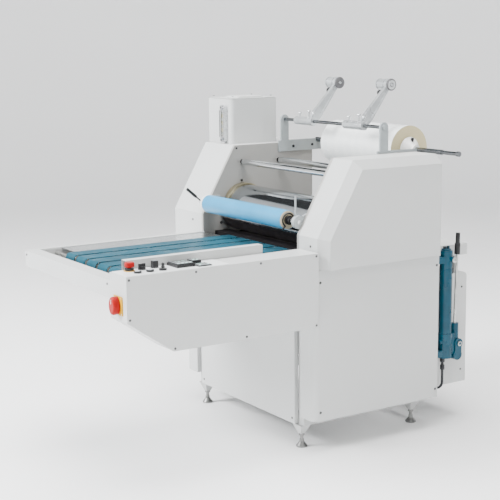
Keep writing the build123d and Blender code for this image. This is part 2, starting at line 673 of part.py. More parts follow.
BOX_SCREWS = [(-911, 888), (-615, 888), (-310, 889), (-32, 889),
              (-911, 731), (-716, 592), (-382, 592), (-32, 592)]


def control_box():
    with BuildPart() as box:
        side_prism(BOX_INNER, BOX_OUTER - SHEET, box_outline())
        opening = box.faces().filter_by(Axis.X).sort_by(Axis.X)[-1]
        offset(amount=-SHEET, openings=opening)
        side_prism(BOX_OUTER - SHEET, BOX_OUTER, box_outline())
        for y, z in BOX_SCREWS:
            bar_x(BOX_OUTER - SHEET, BOX_OUTER, y, z, 2.6, mode=Mode.SUBTRACT)
    save(box, "control_box")
    with BuildPart() as plate:
        block(BOX_INNER + 4, BOX_OUTER - 6, TABLE_FRONT + 6, -455, BOX_TOP, PANEL_TOP)
        fillet(plate.edges().filter_by(Axis.Z), 4)
    save(plate, "panel_plate")


def cover_screws():
    """Pan-head screws of the covers, the box cover, the table bar and the front panel."""
    with BuildPart() as screws:
        for y, z in BOX_SCREWS:
            bar_x(BOX_OUTER - SHEET, BOX_OUTER, y, z, 2.5)
            bar_x(BOX_OUTER, BOX_OUTER + 2, y, z, 5)
        for side in (-1, 1):
            for y, z in LOWER_SCREWS:
                x0, x1 = sorted((side * (COVER_OUTER - 5), side * COVER_OUTER))
                bar_x(x0, x1, y, z, 3)
                x0, x1 = sorted((side * COVER_OUTER, side * (COVER_OUTER + 2.5)))
                bar_x(x0, x1, y, z, 6)
        for x in (TABLE_LEFT + 20, BOX_INNER - 24):
            bar_y(TABLE_FRONT - 2, TABLE_FRONT, x, 850, 5)
        for x in (-PANEL_HALF + 20, PANEL_HALF - 20):
            for z in (130, 740):
                bar_y(COVER_FRONT - 2, COVER_FRONT, x, z, 5.5)
        for x in (CLEAR + 100, -CLEAR - 100):
            bar_y(-2, 0, x, 916, 5.5)
    save(screws, "cover_screws")


def instruments():
    """Two temperature controllers, a meter, and the seats of the switches."""
    with BuildPart() as units:
        block(456, 544, -674, -594, PANEL_TOP, PANEL_TOP + 12)
        block(460, 540, -670, -598, PANEL_TOP + 12, PANEL_TOP + 15)
        block(455, 500, -580, -540, PANEL_TOP, PANEL_TOP + 14)
        block(508, 566, -588, -528, PANEL_TOP, PANEL_TOP + 4)
        bar_z(PANEL_TOP, PANEL_TOP + 12, *ESTOP, 18)
        bar_z(PANEL_TOP, PANEL_TOP + 12, *ESTOP, 8, mode=Mode.SUBTRACT)
        for place in BUTTONS:
            bar_z(PANEL_TOP, PANEL_TOP + 7, *place, 15)
            bar_z(PANEL_TOP, PANEL_TOP + 7, *place, 11, mode=Mode.SUBTRACT)
        for place in (SELECTOR, BLOCK_SWITCH):
            bar_z(PANEL_TOP, PANEL_TOP + 4, *place, 16)
            bar_z(PANEL_TOP, PANEL_TOP + 4, *place, 6, mode=Mode.SUBTRACT)
        bar_z(PANEL_TOP, PANEL_TOP + 7, *JOYSTICK, 16)
    save(units, "panel_instruments")


ESTOP = (480, -853)
BUTTONS = [(537, -847), (538, -793)]
SELECTOR = (481, -799)
BLOCK_SWITCH = (475, -739)
JOYSTICK = (540, -737)
MAIN_SWITCH = (516, 780)


def controls():
    with BuildPart() as stop:
        bar_z(PANEL_TOP + 5, PANEL_TOP + 17, *ESTOP, 7.6)
        bar_z(PANEL_TOP + 17, PANEL_TOP + 36, *ESTOP, 20)
        fillet(stop.edges().filter_by(GeomType.CIRCLE).sort_by(Axis.Z)[-1], 7)
    save(stop, "estop_button")
    for index, place in enumerate(BUTTONS, start=1):
        with BuildPart() as button:
            bar_z(PANEL_TOP + 4, PANEL_TOP + 11, *place, 10.6)
            fillet(button.edges().filter_by(GeomType.CIRCLE).sort_by(Axis.Z)[-1], 1.5)
        save(button, f"pushbutton_{index}")
    with BuildPart() as selector:
        bar_z(PANEL_TOP + 0.5, PANEL_TOP + 4.3, *SELECTOR, 5.7)
        bar_z(PANEL_TOP + 4.3, PANEL_TOP + 13, *SELECTOR, 13)
        block(SELECTOR[0] - 5, SELECTOR[0] + 5, SELECTOR[1] - 14, SELECTOR[1] + 14,
              PANEL_TOP + 4.3, PANEL_TOP + 24)
    save(selector, "selector_knob")
    with BuildPart() as switch:
        bar_z(PANEL_TOP + 0.5, PANEL_TOP + 4.3, *BLOCK_SWITCH, 5.7)
        block(BLOCK_SWITCH[0] - 12, BLOCK_SWITCH[0] + 12, BLOCK_SWITCH[1] - 12, BLOCK_SWITCH[1] + 12,
              PANEL_TOP + 4.3, PANEL_TOP + 28)
        fillet(switch.edges().filter_by(Axis.Z), 3)
    save(switch, "block_switch")
    with BuildPart() as stick:
        with Locations((*JOYSTICK, PANEL_TOP + 14)):
            Sphere(6)
        bar_z(PANEL_TOP + 15, PANEL_TOP + 24, *JOYSTICK, 4)
        with Locations((*JOYSTICK, PANEL_TOP + 24)):
            Sphere(6.5)
    save(stick, "joystick")


def main_switch():
    x, z = MAIN_SWITCH
    with BuildPart() as plate:
        block(x - 38, x + 38, TABLE_FRONT - 4, TABLE_FRONT, z - 37, z + 37)
        fillet(plate.edges().filter_by(Axis.Y), 5)
        bar_y(TABLE_FRONT - 4, TABLE_FRONT, x, z, 9, mode=Mode.SUBTRACT)
    save(plate, "main_switch_plate")
    with BuildPart() as handle:
        bar_y(TABLE_FRONT - 10, TABLE_FRONT - 1, x, z, 8.7)
        with BuildSketch(Plane.XZ.offset(-TABLE_FRONT + 4.4)) as oval:
            with Locations((x - 2, z)):
                Ellipse(26, 36)
        extrude(oval.sketch, amount=27.6)
        fillet(handle.faces().sort_by(Axis.Y)[0].edges(), 9)
    save(handle, "main_switch_handle")


# ---------------------------------------------------------------- hydraulic hand pump
def hand_pump():
    with BuildPart() as pump:
        bar_z(437, 826, PUMP_X, TUBE_Y, TUBE_R)
        bar_z(826, 834, PUMP_X, TUBE_Y, 22)
        bar_z(834, 846, PUMP_X, TUBE_Y - 8, 7)
        bar_z(834, 846, PUMP_X, TUBE_Y + 12, 7)
        bar_z(322, 437, PUMP_X, TUBE_Y, 33)
        block(PUMP_X - 22, PUMP_X + 22, TUBE_Y, 783.5, 340, 437)
        bar_x(PUMP_X - 28, PUMP_X + 28, 800, 331, 25)
        for x0 in (PUMP_X - 28, PUMP_X + 20):
            block(x0, x0 + 8, LEVER_PIVOT_Y - 21, LEVER_PIVOT_Y + 17, 335, LEVER_PIVOT_Z)
            bar_x(x0, x0 + 8, LEVER_PIVOT_Y, LEVER_PIVOT_Z, 23)
        bar_x(PUMP_X - 31, PUMP_X + 31, LEVER_PIVOT_Y, LEVER_PIVOT_Z, 6)
        bar_x(PUMP_X + 28, PUMP_X + 36, LEVER_PIVOT_Y, LEVER_PIVOT_Z, 10)
        bar_z(336, 356, PUMP_X, PLUNGER_Y, 5 + RUNNING, mode=Mode.SUBTRACT)
        bar_x(PUMP_X + 12, PUMP_X + 44, TUBE_Y + 11, 786, 12)
        bar_y(TUBE_Y - 42, TUBE_Y - 20, PUMP_X + 8, 400, 11)
        block(PUMP_X - 20, PUMP_X + 20, COVER_REAR, TUBE_Y - 20, 330, 360)
        block(PUMP_X - 20, PUMP_X + 20, COVER_REAR, TUBE_Y - 24, 770, 800)
    save(pump, "hand_pump")
    with BuildPart() as plunger:
        bar_z(338, 366, PUMP_X, PLUNGER_Y, 5)
    save(plunger, "pump_plunger")


def pump_lever():
    """Lever socket on the pivot with the steel bar and its rubber grip."""
    foot = Vector(PUMP_X, 801, 470)
    slant = Vector(0, 13, 431)
    with BuildPart() as lever:
        bar_z(398, 478, PUMP_X, 803, 17.5)
        block(PUMP_X - 17.5, PUMP_X + 17.5, 790, 822, 376, 404)
        fillet(lever.edges().filter_by(Axis.X).filter_by(lambda e: e.center().Z < 380), 6)
        bar_x(PUMP_X - 18, PUMP_X + 18, LEVER_PIVOT_Y, LEVER_PIVOT_Z, 6 + RUNNING, mode=Mode.SUBTRACT)
        with BuildSketch(Plane(origin=foot, z_dir=slant)) as bar:
            Circle(6)
        extrude(bar.sketch, amount=slant.length - 4)
    save(lever, "pump_lever")
    with BuildPart() as grip:
        with BuildSketch(Plane(origin=foot + slant * 0.77, z_dir=slant)) as lower:
            Circle(13)
        extrude(lower.sketch, amount=slant.length * 0.12)
        with BuildSketch(Plane(origin=foot + slant * 0.89, z_dir=slant)) as upper:
            Circle(10)
        extrude(upper.sketch, amount=slant.length * 0.11)
        with BuildSketch(Plane(origin=foot + slant * 0.7, z_dir=slant)) as bore:
            Circle(6)
        extrude(bore.sketch, amount=slant.length * 0.3 - 4, mode=Mode.SUBTRACT)
    save(grip, "pump_grip")


def release_valve():
    with BuildPart() as valve:
        bar_z(437.3, 714, PUMP_X, 780.5, 3)
        bar_z(714, 742, PUMP_X, 780.5, 6)
    save(valve, "release_valve")


def pump_pipe():
    """Steel pipe from the pump down and through the cover towards the jacks."""
    start = (PUMP_X, 731, 322)
    corner = (PUMP_X, 731, 182)
    end = (PUMP_X, COVER_REAR - 12, 182)
    with BuildPart() as pipe:
        with BuildLine() as path:
            FilletPolyline(start, corner, end, radius=24)
        with BuildSketch(Plane(origin=start, z_dir=(0, 0, -1))) as section:
            Circle(6)
        sweep(section.sketch, path=path.line)
        bar_z(302, 322, PUMP_X, 731, 11)
        bar_z(266, 288, PUMP_X, 731, 10)
        bar_y(COVER_REAR, COVER_REAR + 10, PUMP_X, 182, 12)
    save(pipe, "pump_pipe")


# ---------------------------------------------------------------- build everything
base_frame()
levelling_feet()
front_panel()
lower_cover(1, "right_lower_cover")
lower_cover(-1, "left_lower_cover")
upper_housing(1, RIGHT_OUTER, "right_upper_housing")
upper_housing(-1, LEFT_OUTER, "left_upper_housing")
side_plate(1, "right_side_plate")
side_plate(-1, "left_side_plate")
rear_casing()
rear_tray()
oil_box()
oil_box_lid()
level_gauge()
heated_roller()
roller_bearings()
gear_motor()
pressure_roller()
lift_carriage()
nip_guard()
front_film_roll()
film_brackets()
film_clamp_lever()
supply_roll()
roll_brackets()
idle_roller(IDLE_FRONT, "front_idle_roller")
idle_roller(IDLE_REAR, "rear_idle_roller")
idler_studs()
trim_arm(LEFT_ARM_X, "left")
trim_arm(RIGHT_ARM_X, "right")
table_rails()
table_bed()
table_plate()
feed_belts()
belt_roller(BELT_FRONT_Y, TABLE_LEFT + RAIL_WIDTH + 0.5, BOX_INNER - 0.5, "front_belt_roller")
belt_roller(BELT_REAR_Y, -CLEAR - PLATE, CLEAR + PLATE, "rear_belt_roller")
side_guide()
control_box()
cover_screws()
instruments()
controls()
main_switch()
hand_pump()
pump_lever()
release_valve()
pump_pipe()
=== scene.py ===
import json
import math

import bmesh
import bpy
from mathutils import Matrix, Vector


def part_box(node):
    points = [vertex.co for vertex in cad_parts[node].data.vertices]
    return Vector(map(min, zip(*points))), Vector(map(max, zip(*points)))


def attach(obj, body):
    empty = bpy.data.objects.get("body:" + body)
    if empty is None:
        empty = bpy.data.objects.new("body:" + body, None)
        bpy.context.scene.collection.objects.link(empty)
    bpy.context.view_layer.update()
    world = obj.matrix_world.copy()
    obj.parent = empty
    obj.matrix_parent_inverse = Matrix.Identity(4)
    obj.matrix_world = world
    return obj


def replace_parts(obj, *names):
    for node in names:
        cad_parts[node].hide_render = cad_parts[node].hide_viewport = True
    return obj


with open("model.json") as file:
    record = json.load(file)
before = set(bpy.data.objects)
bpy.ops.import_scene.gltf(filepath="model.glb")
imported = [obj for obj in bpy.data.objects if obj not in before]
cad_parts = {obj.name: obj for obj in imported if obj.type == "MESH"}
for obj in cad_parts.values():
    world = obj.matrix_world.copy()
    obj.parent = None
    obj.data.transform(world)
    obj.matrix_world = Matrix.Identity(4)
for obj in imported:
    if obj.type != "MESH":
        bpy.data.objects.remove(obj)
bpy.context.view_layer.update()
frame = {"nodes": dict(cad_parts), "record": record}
nodes = frame["nodes"]

# Camera of the reference view, in the row frame (metres, degrees, millimetres).
CAMERA_PLACE = Vector((4.7263, -2.9714, 1.7917))
CAMERA_AZIMUTH = 57.465
CAMERA_ELEVATION = 9.786
CAMERA_ROLL = -0.665
CAMERA_LENS = 88.24
CAMERA_SENSOR = 36.0
CAMERA_REACH = 60.0

MACHINE = "machine"


# ------------------------------------------------------------------ node materials
FLAT_COSINE = 0.995                 # rounded against true normal: above it a face counts as flat
EDGE_COSINE = 0.90                  # below it the spot lies fully on an edge
SCUFF_SCALE = 55.0
STREAK_SCALE = 9.0


def node(tree, kind, place, **values):
    made = tree.nodes.new(kind)
    made.location = place
    for key, value in values.items():
        setattr(made, key, value)
    return made


def noise(tree, coords, scale, detail, stretch=None):
    """Noise texture on the object's own coordinates, stretched along an axis if asked."""
    source = coords
    if stretch:
        mapping = node(tree, "ShaderNodeMapping", (-900, 0))
        mapping.inputs["Scale"].default_value = stretch
        tree.links.new(coords, mapping.inputs["Vector"])
        source = mapping.outputs["Vector"]
    made = node(tree, "ShaderNodeTexNoise", (-700, 0))
    made.inputs["Scale"].default_value = scale
    made.inputs["Detail"].default_value = detail
    tree.links.new(source, made.inputs["Vector"])
    return made.outputs["Fac"]


def spread(tree, source, low, high, start=0.35, end=0.65):
    """Map a 0-1 value to a range."""
    made = node(tree, "ShaderNodeMapRange", (-450, 0))
    made.inputs["From Min"].default_value = start
    made.inputs["From Max"].default_value = end
    made.inputs["To Min"].default_value = low
    made.inputs["To Max"].default_value = high
    tree.links.new(source, made.inputs["Value"])
    return made.outputs["Result"]


def mix(tree, factor, first, second):
    """Mix two colours, each given as a colour or as a socket."""
    made = node(tree, "ShaderNodeMix", (-250, 0), data_type="RGBA")
    tree.links.new(factor, made.inputs["Factor"])
    for socket, value in (("A", first), ("B", second)):
        entry = [i for i in made.inputs if i.name == socket and i.type == "RGBA"][0]
        if isinstance(value, bpy.types.NodeSocket):
            tree.links.new(value, entry)
        else:
            entry.default_value = (*value, 1.0)
    return [o for o in made.outputs if o.type == "RGBA"][0]


def edge_mask(tree, radius):
    """1 near sharp edges, 0 on flat stretches, from a rounded and a true normal."""
    bevel = node(tree, "ShaderNodeBevel", (-900, -300), samples=4)
    bevel.inputs["Radius"].default_value = radius
    geometry = node(tree, "ShaderNodeNewGeometry", (-900, -450))
    dot = node(tree, "ShaderNodeVectorMath", (-700, -350), operation="DOT_PRODUCT")
    tree.links.new(bevel.outputs["Normal"], dot.inputs[0])
    tree.links.new(geometry.outputs["Normal"], dot.inputs[1])
    made = node(tree, "ShaderNodeMapRange", (-500, -350))
    made.inputs["From Min"].default_value = FLAT_COSINE
    made.inputs["From Max"].default_value = EDGE_COSINE
    tree.links.new(dot.outputs["Value"], made.inputs["Value"])
    return made.outputs["Result"], bevel.outputs["Normal"]


def surface(name, colour, rough, metal=0.0, tint=0.04, tint_scale=3.0, grain=600.0, bump=0.02,
            bump_size=0.0004, stretch=None, wear=None, edge=0.0015, rough_spread=0.06, coat=0.0,
            coat_rough=0.15, pattern=None, specular=0.5, subsurface=0.0):
    """A finished surface: varied colour and roughness, fine bump, softened and worn edges."""
    made = bpy.data.materials.new(name)
    made.use_nodes = True
    tree = made.node_tree
    shader = tree.nodes["Principled BSDF"]
    coords = node(tree, "ShaderNodeTexCoord", (-1100, 0)).outputs["Object"]
    slow = noise(tree, coords, tint_scale, 4.0)
    fine = noise(tree, coords, grain, 2.0, stretch)
    dark = tuple(c * (1 - tint) for c in colour)
    light = tuple(min(1.0, c * (1 + tint)) for c in colour)
    shade = mix(tree, spread(tree, slow, 0.0, 1.0), dark, light)
    if pattern:
        shade = pattern(tree, coords, shade)
    mask, soft_normal = edge_mask(tree, edge)
    if wear:
        scuff = noise(tree, coords, SCUFF_SCALE, 3.0)
        both = node(tree, "ShaderNodeMath", (-350, -200), operation="MULTIPLY")
        tree.links.new(mask, both.inputs[0])
        tree.links.new(spread(tree, scuff, 0.0, 0.55, 0.5, 0.72), both.inputs[1])
        shade = mix(tree, both.outputs[0], shade, wear)
    tree.links.new(shade, shader.inputs["Base Color"])
    streaks = noise(tree, coords, STREAK_SCALE, 5.0, stretch)
    tree.links.new(spread(tree, streaks, max(0.02, rough - rough_spread), rough + rough_spread),
                   shader.inputs["Roughness"])
    bumper = node(tree, "ShaderNodeBump", (-200, -400))
    bumper.inputs["Strength"].default_value = bump
    bumper.inputs["Distance"].default_value = bump_size
    tree.links.new(fine, bumper.inputs["Height"])
    tree.links.new(soft_normal, bumper.inputs["Normal"])
    tree.links.new(bumper.outputs["Normal"], shader.inputs["Normal"])
    shader.inputs["Metallic"].default_value = metal
    shader.inputs["Coat Weight"].default_value = coat
    shader.inputs["Coat Roughness"].default_value = coat_rough
    shader.inputs["Specular IOR Level"].default_value = specular
    shader.inputs["Subsurface Weight"].default_value = subsurface
    shader.inputs["Subsurface Radius"].default_value = (0.01, 0.01, 0.01)
    return made


def wave(tree, coords, scale, direction, amount, distortion, kind="BANDS"):
    """Bands across an axis or rings around it, from 0 to amount."""
    made = node(tree, "ShaderNodeTexWave", (-700, 200), wave_type=kind)
    if kind == "BANDS":
        made.bands_direction = direction
    else:
        made.rings_direction = direction
    made.inputs["Scale"].default_value = scale
    made.inputs["Distortion"].default_value = distortion
    tree.links.new(coords, made.inputs["Vector"])
    return spread(tree, made.outputs["Fac"], 0.0, amount, 0.2, 0.8)


def centred(tree, coords, place):
    """Coordinates measured from a point, for rings around a roll's axis."""
    mapping = node(tree, "ShaderNodeMapping", (-900, 200))
    mapping.inputs["Location"].default_value = [-c for c in place]
    tree.links.new(coords, mapping.inputs["Vector"])
    return mapping.outputs["Vector"]


def ring_pattern(centre, other, scale, amount):
    """Concentric rings of wound layers around an axis along X."""
    def paint(tree, coords, shade):
        rings = wave(tree, centred(tree, coords, centre), scale, "X", amount, 0.0, "RINGS")
        return mix(tree, rings, shade, other)
    return paint


def band_pattern(scale, direction, other, amount, distortion=0.5):
    """Bands across an axis in another colour."""
    def paint(tree, coords, shade):
        return mix(tree, wave(tree, coords, scale, direction, amount, distortion), shade, other)
    return paint


def middle(name):
    """Centre of a CAD node's box."""
    low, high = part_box(name)
    return (low + high) / 2


ALUMINIUM = (0.62, 0.63, 0.64)
BARE = (0.50, 0.50, 0.49)

MATERIALS = {
    "cover": surface("cover_powder_coat", (0.52, 0.53, 0.525), 0.40, tint=0.025, tint_scale=1.6,
                     grain=900, bump=0.10, bump_size=0.0005, wear=(0.50, 0.50, 0.49), edge=0.003),
    "plate": surface("side_plate_paint", (0.30, 0.295, 0.28), 0.5, tint=0.05, tint_scale=2.2,
                     grain=700, bump=0.12, bump_size=0.0005, wear=BARE, edge=0.0015),
    "frame": surface("base_frame_paint", (0.46, 0.465, 0.46), 0.5, tint=0.06, tint_scale=4,
                     grain=500, bump=0.15, wear=BARE, edge=0.003),
    "bracket": surface("bracket_paint", (0.30, 0.33, 0.34), 0.36, tint=0.05, tint_scale=8,
                       grain=700, bump=0.12, wear=BARE, edge=0.0015, coat=0.15),
    "zinc": surface("zinc_plated_steel", (0.50, 0.50, 0.48), 0.33, metal=1.0, tint=0.14,
                    tint_scale=35, grain=900, bump=0.08, edge=0.0006, rough_spread=0.12),
    "dark_zinc": surface("dark_zinc", (0.085, 0.085, 0.085), 0.36, metal=0.6, tint=0.2,
                         tint_scale=35, grain=900, bump=0.08, edge=0.0006),
    "foot": surface("foot_zinc", (0.24, 0.24, 0.235), 0.34, metal=0.9, tint=0.14, tint_scale=35,
                    grain=900, bump=0.08, edge=0.0006, rough_spread=0.12),
    "steel": surface("polished_steel", (0.70, 0.72, 0.73), 0.17, metal=1.0, tint=0.06,
                     tint_scale=14, grain=700, bump=0.05, stretch=(1, 12, 12), edge=0.0006,
                     rough_spread=0.07),
    "dark_steel": surface("ground_shaft", (0.20, 0.21, 0.22), 0.24, metal=1.0, tint=0.10,
                          tint_scale=14, grain=700, bump=0.05, stretch=(1, 12, 12), edge=0.0006,
                          rough_spread=0.07),
    "sheet": surface("brushed_sheet", (0.52, 0.54, 0.55), 0.26, metal=1.0, tint=0.05,
                     tint_scale=3, grain=500, bump=0.08, stretch=(14, 1, 14), edge=0.0008,
                     rough_spread=0.08),
    "chrome": surface("chrome_roller", (0.48, 0.51, 0.53), 0.09, metal=1.0, tint=0.03,
                      tint_scale=4, grain=300, bump=0.03, stretch=(1, 10, 10), edge=0.002,
                      rough_spread=0.04),
    "black_steel": surface("black_oxide", (0.010, 0.010, 0.011), 0.38, metal=0.2, tint=0.25,
                           tint_scale=30, grain=800, bump=0.10, edge=0.0006,
                           wear=(0.14, 0.14, 0.14)),
    "guard": surface("black_guard_paint", (0.030, 0.026, 0.027), 0.45, tint=0.2, tint_scale=6,
                     grain=600, bump=0.15, wear=(0.07, 0.07, 0.07), edge=0.0006, specular=0.15),
    # Infeed plate: black like the guard paint, made darker and duller than it as painted shade
    # under the guard.
    "infeed_painted_shade": surface("infeed_plate_painted_shade", (0.010, 0.009, 0.010), 0.6, tint=0.2, tint_scale=6,
                      grain=600, bump=0.15, wear=(0.04, 0.04, 0.04), edge=0.0006, specular=0.05),
    "trim": surface("bright_trim", ALUMINIUM, 0.25, metal=1.0, tint=0.05, tint_scale=10,
                    grain=500, bump=0.06, stretch=(1, 10, 10), edge=0.0005),
    "brass": surface("end_ring_brass", (0.34, 0.30, 0.20), 0.34, metal=0.9, tint=0.18,
                     tint_scale=18, grain=600, bump=0.10, edge=0.001),
    "motor": surface("motor_enamel", (0.13, 0.17, 0.22), 0.35, tint=0.08, tint_scale=8,
                     grain=180, bump=0.25, wear=BARE, edge=0.002, coat=0.3),
    "rubber": surface("roller_rubber", (0.030, 0.026, 0.025), 0.62, tint=0.12, tint_scale=12,
                      grain=1200, bump=0.2, edge=0.001, specular=0.3),
    "belt": surface("teal_belt", (0.012, 0.065, 0.095), 0.45, tint=0.14, tint_scale=9,
                    grain=1400, bump=0.30, bump_size=0.0003, stretch=(1, 2, 1), edge=0.0008,
                    pattern=band_pattern(60, "X", (0.025, 0.095, 0.125), 0.35), specular=0.05),
    "blue_film": surface("blue_film", (0.030, 0.25, 0.46), 0.36, tint=0.10, tint_scale=5,
                         grain=60, bump=0.30, bump_size=0.0006, stretch=(1, 4, 4), edge=0.002,
                         coat=0.08, specular=0.3),
    "blue_end": surface("blue_film_end", (0.16, 0.38, 0.66), 0.5, tint=0.1, edge=0.001,
                        pattern=ring_pattern(middle("blue_film_roll"), (0.34, 0.52, 0.70),
                                             240, 0.6)),
    "paper": surface("paper_core", (0.55, 0.48, 0.34), 0.75, tint=0.10, tint_scale=40, grain=900,
                     bump=0.3, edge=0.001),
    "clear_film": surface("wound_clear_film", (0.80, 0.82, 0.81), 0.24, tint=0.03, tint_scale=3,
                          grain=40, bump=0.20, bump_size=0.0006, stretch=(1, 5, 5), edge=0.003,
                          coat=0.4, subsurface=0.08,
                          pattern=band_pattern(5, "X", (0.72, 0.75, 0.76), 0.35, 3.0)),
    "film_end": surface("wound_film_end", (0.50, 0.43, 0.24), 0.45, tint=0.05, edge=0.001,
                        pattern=ring_pattern(middle("supply_film_roll"), (0.60, 0.54, 0.36),
                                             150, 0.7)),
    "cast_arm": surface("cast_arm", (0.50, 0.52, 0.53), 0.32, metal=0.65, tint=0.08,
                        tint_scale=25, grain=260, bump=0.25, bump_size=0.0006, edge=0.0015),
    "disc": surface("turned_disc", (0.16, 0.16, 0.165), 0.3, metal=0.8, tint=0.15,
                    tint_scale=40, grain=900, bump=0.10, edge=0.0006),
    "panel": surface("printed_panel", (0.74, 0.76, 0.76), 0.35, tint=0.02, tint_scale=4,
                     grain=900, bump=0.05, edge=0.0008, coat=0.2),
    "black_plastic": surface("black_plastic", (0.010, 0.010, 0.011), 0.40, tint=0.15,
                             tint_scale=40, grain=1500, bump=0.18, edge=0.0008, specular=0.4),
    "grey_plastic": surface("grey_plastic", (0.20, 0.22, 0.225), 0.38, tint=0.06,
                            tint_scale=30, grain=900, bump=0.10, edge=0.001),
    "white_plastic": surface("white_plastic", (0.72, 0.72, 0.70), 0.35, tint=0.03,
                             tint_scale=30, grain=700, bump=0.08, edge=0.002, subsurface=0.05),
    "red_plastic": surface("red_plastic", (0.30, 0.003, 0.003), 0.34, tint=0.08, tint_scale=30,
                           grain=900, bump=0.06, edge=0.001, specular=0.15),
    "lens": surface("pushbutton_lens", (0.55, 0.58, 0.62), 0.20, tint=0.04, tint_scale=40,
                    grain=900, bump=0.04, edge=0.0006, coat=0.6),
    "yellow_plastic": surface("yellow_plastic", (0.62, 0.33, 0.003), 0.40, tint=0.05,
                              tint_scale=25, grain=900, bump=0.08, edge=0.001, specular=0.2),
    "pump": surface("pump_enamel", (0.002, 0.052, 0.085), 0.30, tint=0.12, tint_scale=14,
                    grain=120, bump=0.16, bump_size=0.0005, wear=(0.20, 0.24, 0.26), edge=0.002,
                    specular=0.22, coat=0.08, coat_rough=0.1),
    "grip": surface("grip_rubber", (0.007, 0.007, 0.008), 0.55, tint=0.15, tint_scale=40,
                    grain=1000, bump=0.3, edge=0.001),
    "pipe": surface("phosphated_pipe", (0.020, 0.021, 0.024), 0.4, metal=0.4, tint=0.2,
                    tint_scale=40, grain=700, bump=0.15, edge=0.0006),
    "glass": surface("gauge_glass", (0.30, 0.32, 0.30), 0.06, tint=0.02, tint_scale=20,
                     grain=200, bump=0.02, edge=0.0005, coat=0.8, coat_rough=0.03,
                     pattern=band_pattern(9, "Z", (0.40, 0.33, 0.16), 0.5, 0.2)),
    "display": surface("display_window", (0.010, 0.012, 0.012), 0.10, tint=0.10, tint_scale=40,
                       grain=500, bump=0.02, edge=0.0004, coat=0.7, coat_rough=0.03),
    "digits": surface("display_digits", (0.60, 0.85, 0.80), 0.30, tint=0.05, tint_scale=60,
                      grain=900, bump=0.02, edge=0.0003),
}


# ------------------------------------------------------------------ CAD nodes: materials
def dress(name, material, *rules):
    """Give a CAD node its material; of the rules (test, material), the last that passes wins."""
    mesh = nodes[name].data
    mesh.materials.clear()
    mesh.materials.append(MATERIALS[material])
    for test, other in rules:
        mesh.materials.append(MATERIALS[other])
    for face in mesh.polygons:
        face.material_index = 0
        for index, (test, other) in enumerate(rules, start=1):
            if test(face.center, face.normal):
                face.material_index = index


def off_axis(point, centre):
    """Distance of a point from an axis along X."""
    return math.hypot(point.y - centre.y, point.z - centre.z)


def is_end(normal):
    """True on an end face of a roll along X."""
    return abs(normal.x) > 0.7


def joint_at(name):
    """Pivot of a joint of the record, in metres."""
    joints = frame["record"]["behaviour"]["joints"]
    return Vector([j for j in joints if j["name"] == name][0]["pos_m"])


PLAIN_NODES = {
    "cover": ("front_panel", "right_lower_cover", "left_lower_cover", "right_upper_housing",
              "left_upper_housing", "rear_casing", "rear_tray", "oil_box", "oil_box_lid",
              "table_frame", "side_guide", "control_box"),
    "plate": ("right_side_plate", "left_side_plate"),
    "frame": ("base_frame", "lift_carriage", "table_bed"),
    "bracket": ("film_brackets",),
    "zinc": ("lift_jacks", "front_belt_roller", "rear_belt_roller", "pump_plunger"),
    "dark_zinc": ("cover_screws",),
    "steel": ("front_idle_roller", "rear_idle_roller"),
    "black_steel": ("wall_bolts",),
    "cast_arm": ("left_trim_arm", "right_trim_arm"),
    "disc": ("left_trim_wheel", "right_trim_wheel"),
    "belt": ("feed_belts",),
    "motor": ("gear_motor",),
    "panel": ("panel_plate",),
    "black_plastic": ("panel_instruments", "joystick", "selector_knob", "block_switch",
                      "film_clamp_lever"),
    "red_plastic": ("estop_button", "main_switch_handle"),
    "yellow_plastic": ("main_switch_plate",),
    "lens": ("pushbutton_1", "pushbutton_2"),
    "pump": ("hand_pump",),
    "grip": ("pump_grip",),
    "pipe": ("pump_pipe",),
}
for material, names in PLAIN_NODES.items():
    for name in names:
        dress(name, material)

# Nodes of two or more materials. Heights and places are in the row frame, in metres.
FOOT_STUD_START = 0.0625
BRACKET_DEPTH = 0.0165
INFEED_START = 0.05
VALVE_KNOB_START = 0.713
LEVER_BAR_START = 0.479
dress("levelling_feet", "foot", (lambda c, n: c.z > FOOT_STUD_START, "dark_zinc"))
bracket_low, bracket_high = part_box("roll_brackets")
dress("roll_brackets", "bracket",
      (lambda c, n: bracket_low.x + BRACKET_DEPTH < c.x < bracket_high.x - BRACKET_DEPTH,
       "dark_steel"))
# Table plates: brushed sheet, and behind INFEED_START the infeed black, darker than the guard
# paint as painted shade under the guard.
dress("table_plates", "sheet", (lambda c, n: c.y > INFEED_START, "infeed_painted_shade"))
dress("release_valve", "zinc", (lambda c, n: c.z > VALVE_KNOB_START, "black_plastic"))
dress("pump_lever", "pump", (lambda c, n: c.z > LEVER_BAR_START, "zinc"))

JOURNAL_REACH = 0.030
END_RING_REACH = 0.046
END_RING_START = -0.4002
hot = middle("heated_roller")
dress("heated_roller", "chrome", (lambda c, n: off_axis(c, hot) < JOURNAL_REACH, "steel"))
dress("roller_bearings", "zinc",
      (lambda c, n: END_RING_START < c.x < 0 and off_axis(c, hot) > END_RING_REACH, "brass"))

TRIM_STRIP_HEIGHT = 0.016
TRIM_STRIP_DEPTH = 0.014
guard_low, guard_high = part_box("nip_guard")
dress("nip_guard", "guard",
      (lambda c, n: c.z > guard_high.z - TRIM_STRIP_HEIGHT
       and c.y < guard_low.y + TRIM_STRIP_DEPTH, "trim"))

RUBBER_START = 0.066
press = middle("pressure_roller")
dress("pressure_roller", "rubber", (lambda c, n: off_axis(c, press) < RUBBER_START, "steel"))

SUPPLY_CORE_REACH = 0.0445
SUPPLY_BAR_REACH = 0.013
CONES_END = 0.45
supply = middle("supply_film_roll")
dress("supply_film_roll", "clear_film",
      (lambda c, n: is_end(n), "film_end"),
      (lambda c, n: off_axis(c, supply) < SUPPLY_CORE_REACH, "paper"))
dress("supply_shaft", "dark_steel",
      (lambda c, n: off_axis(c, supply) > SUPPLY_BAR_REACH and c.x < CONES_END,
       "white_plastic"))

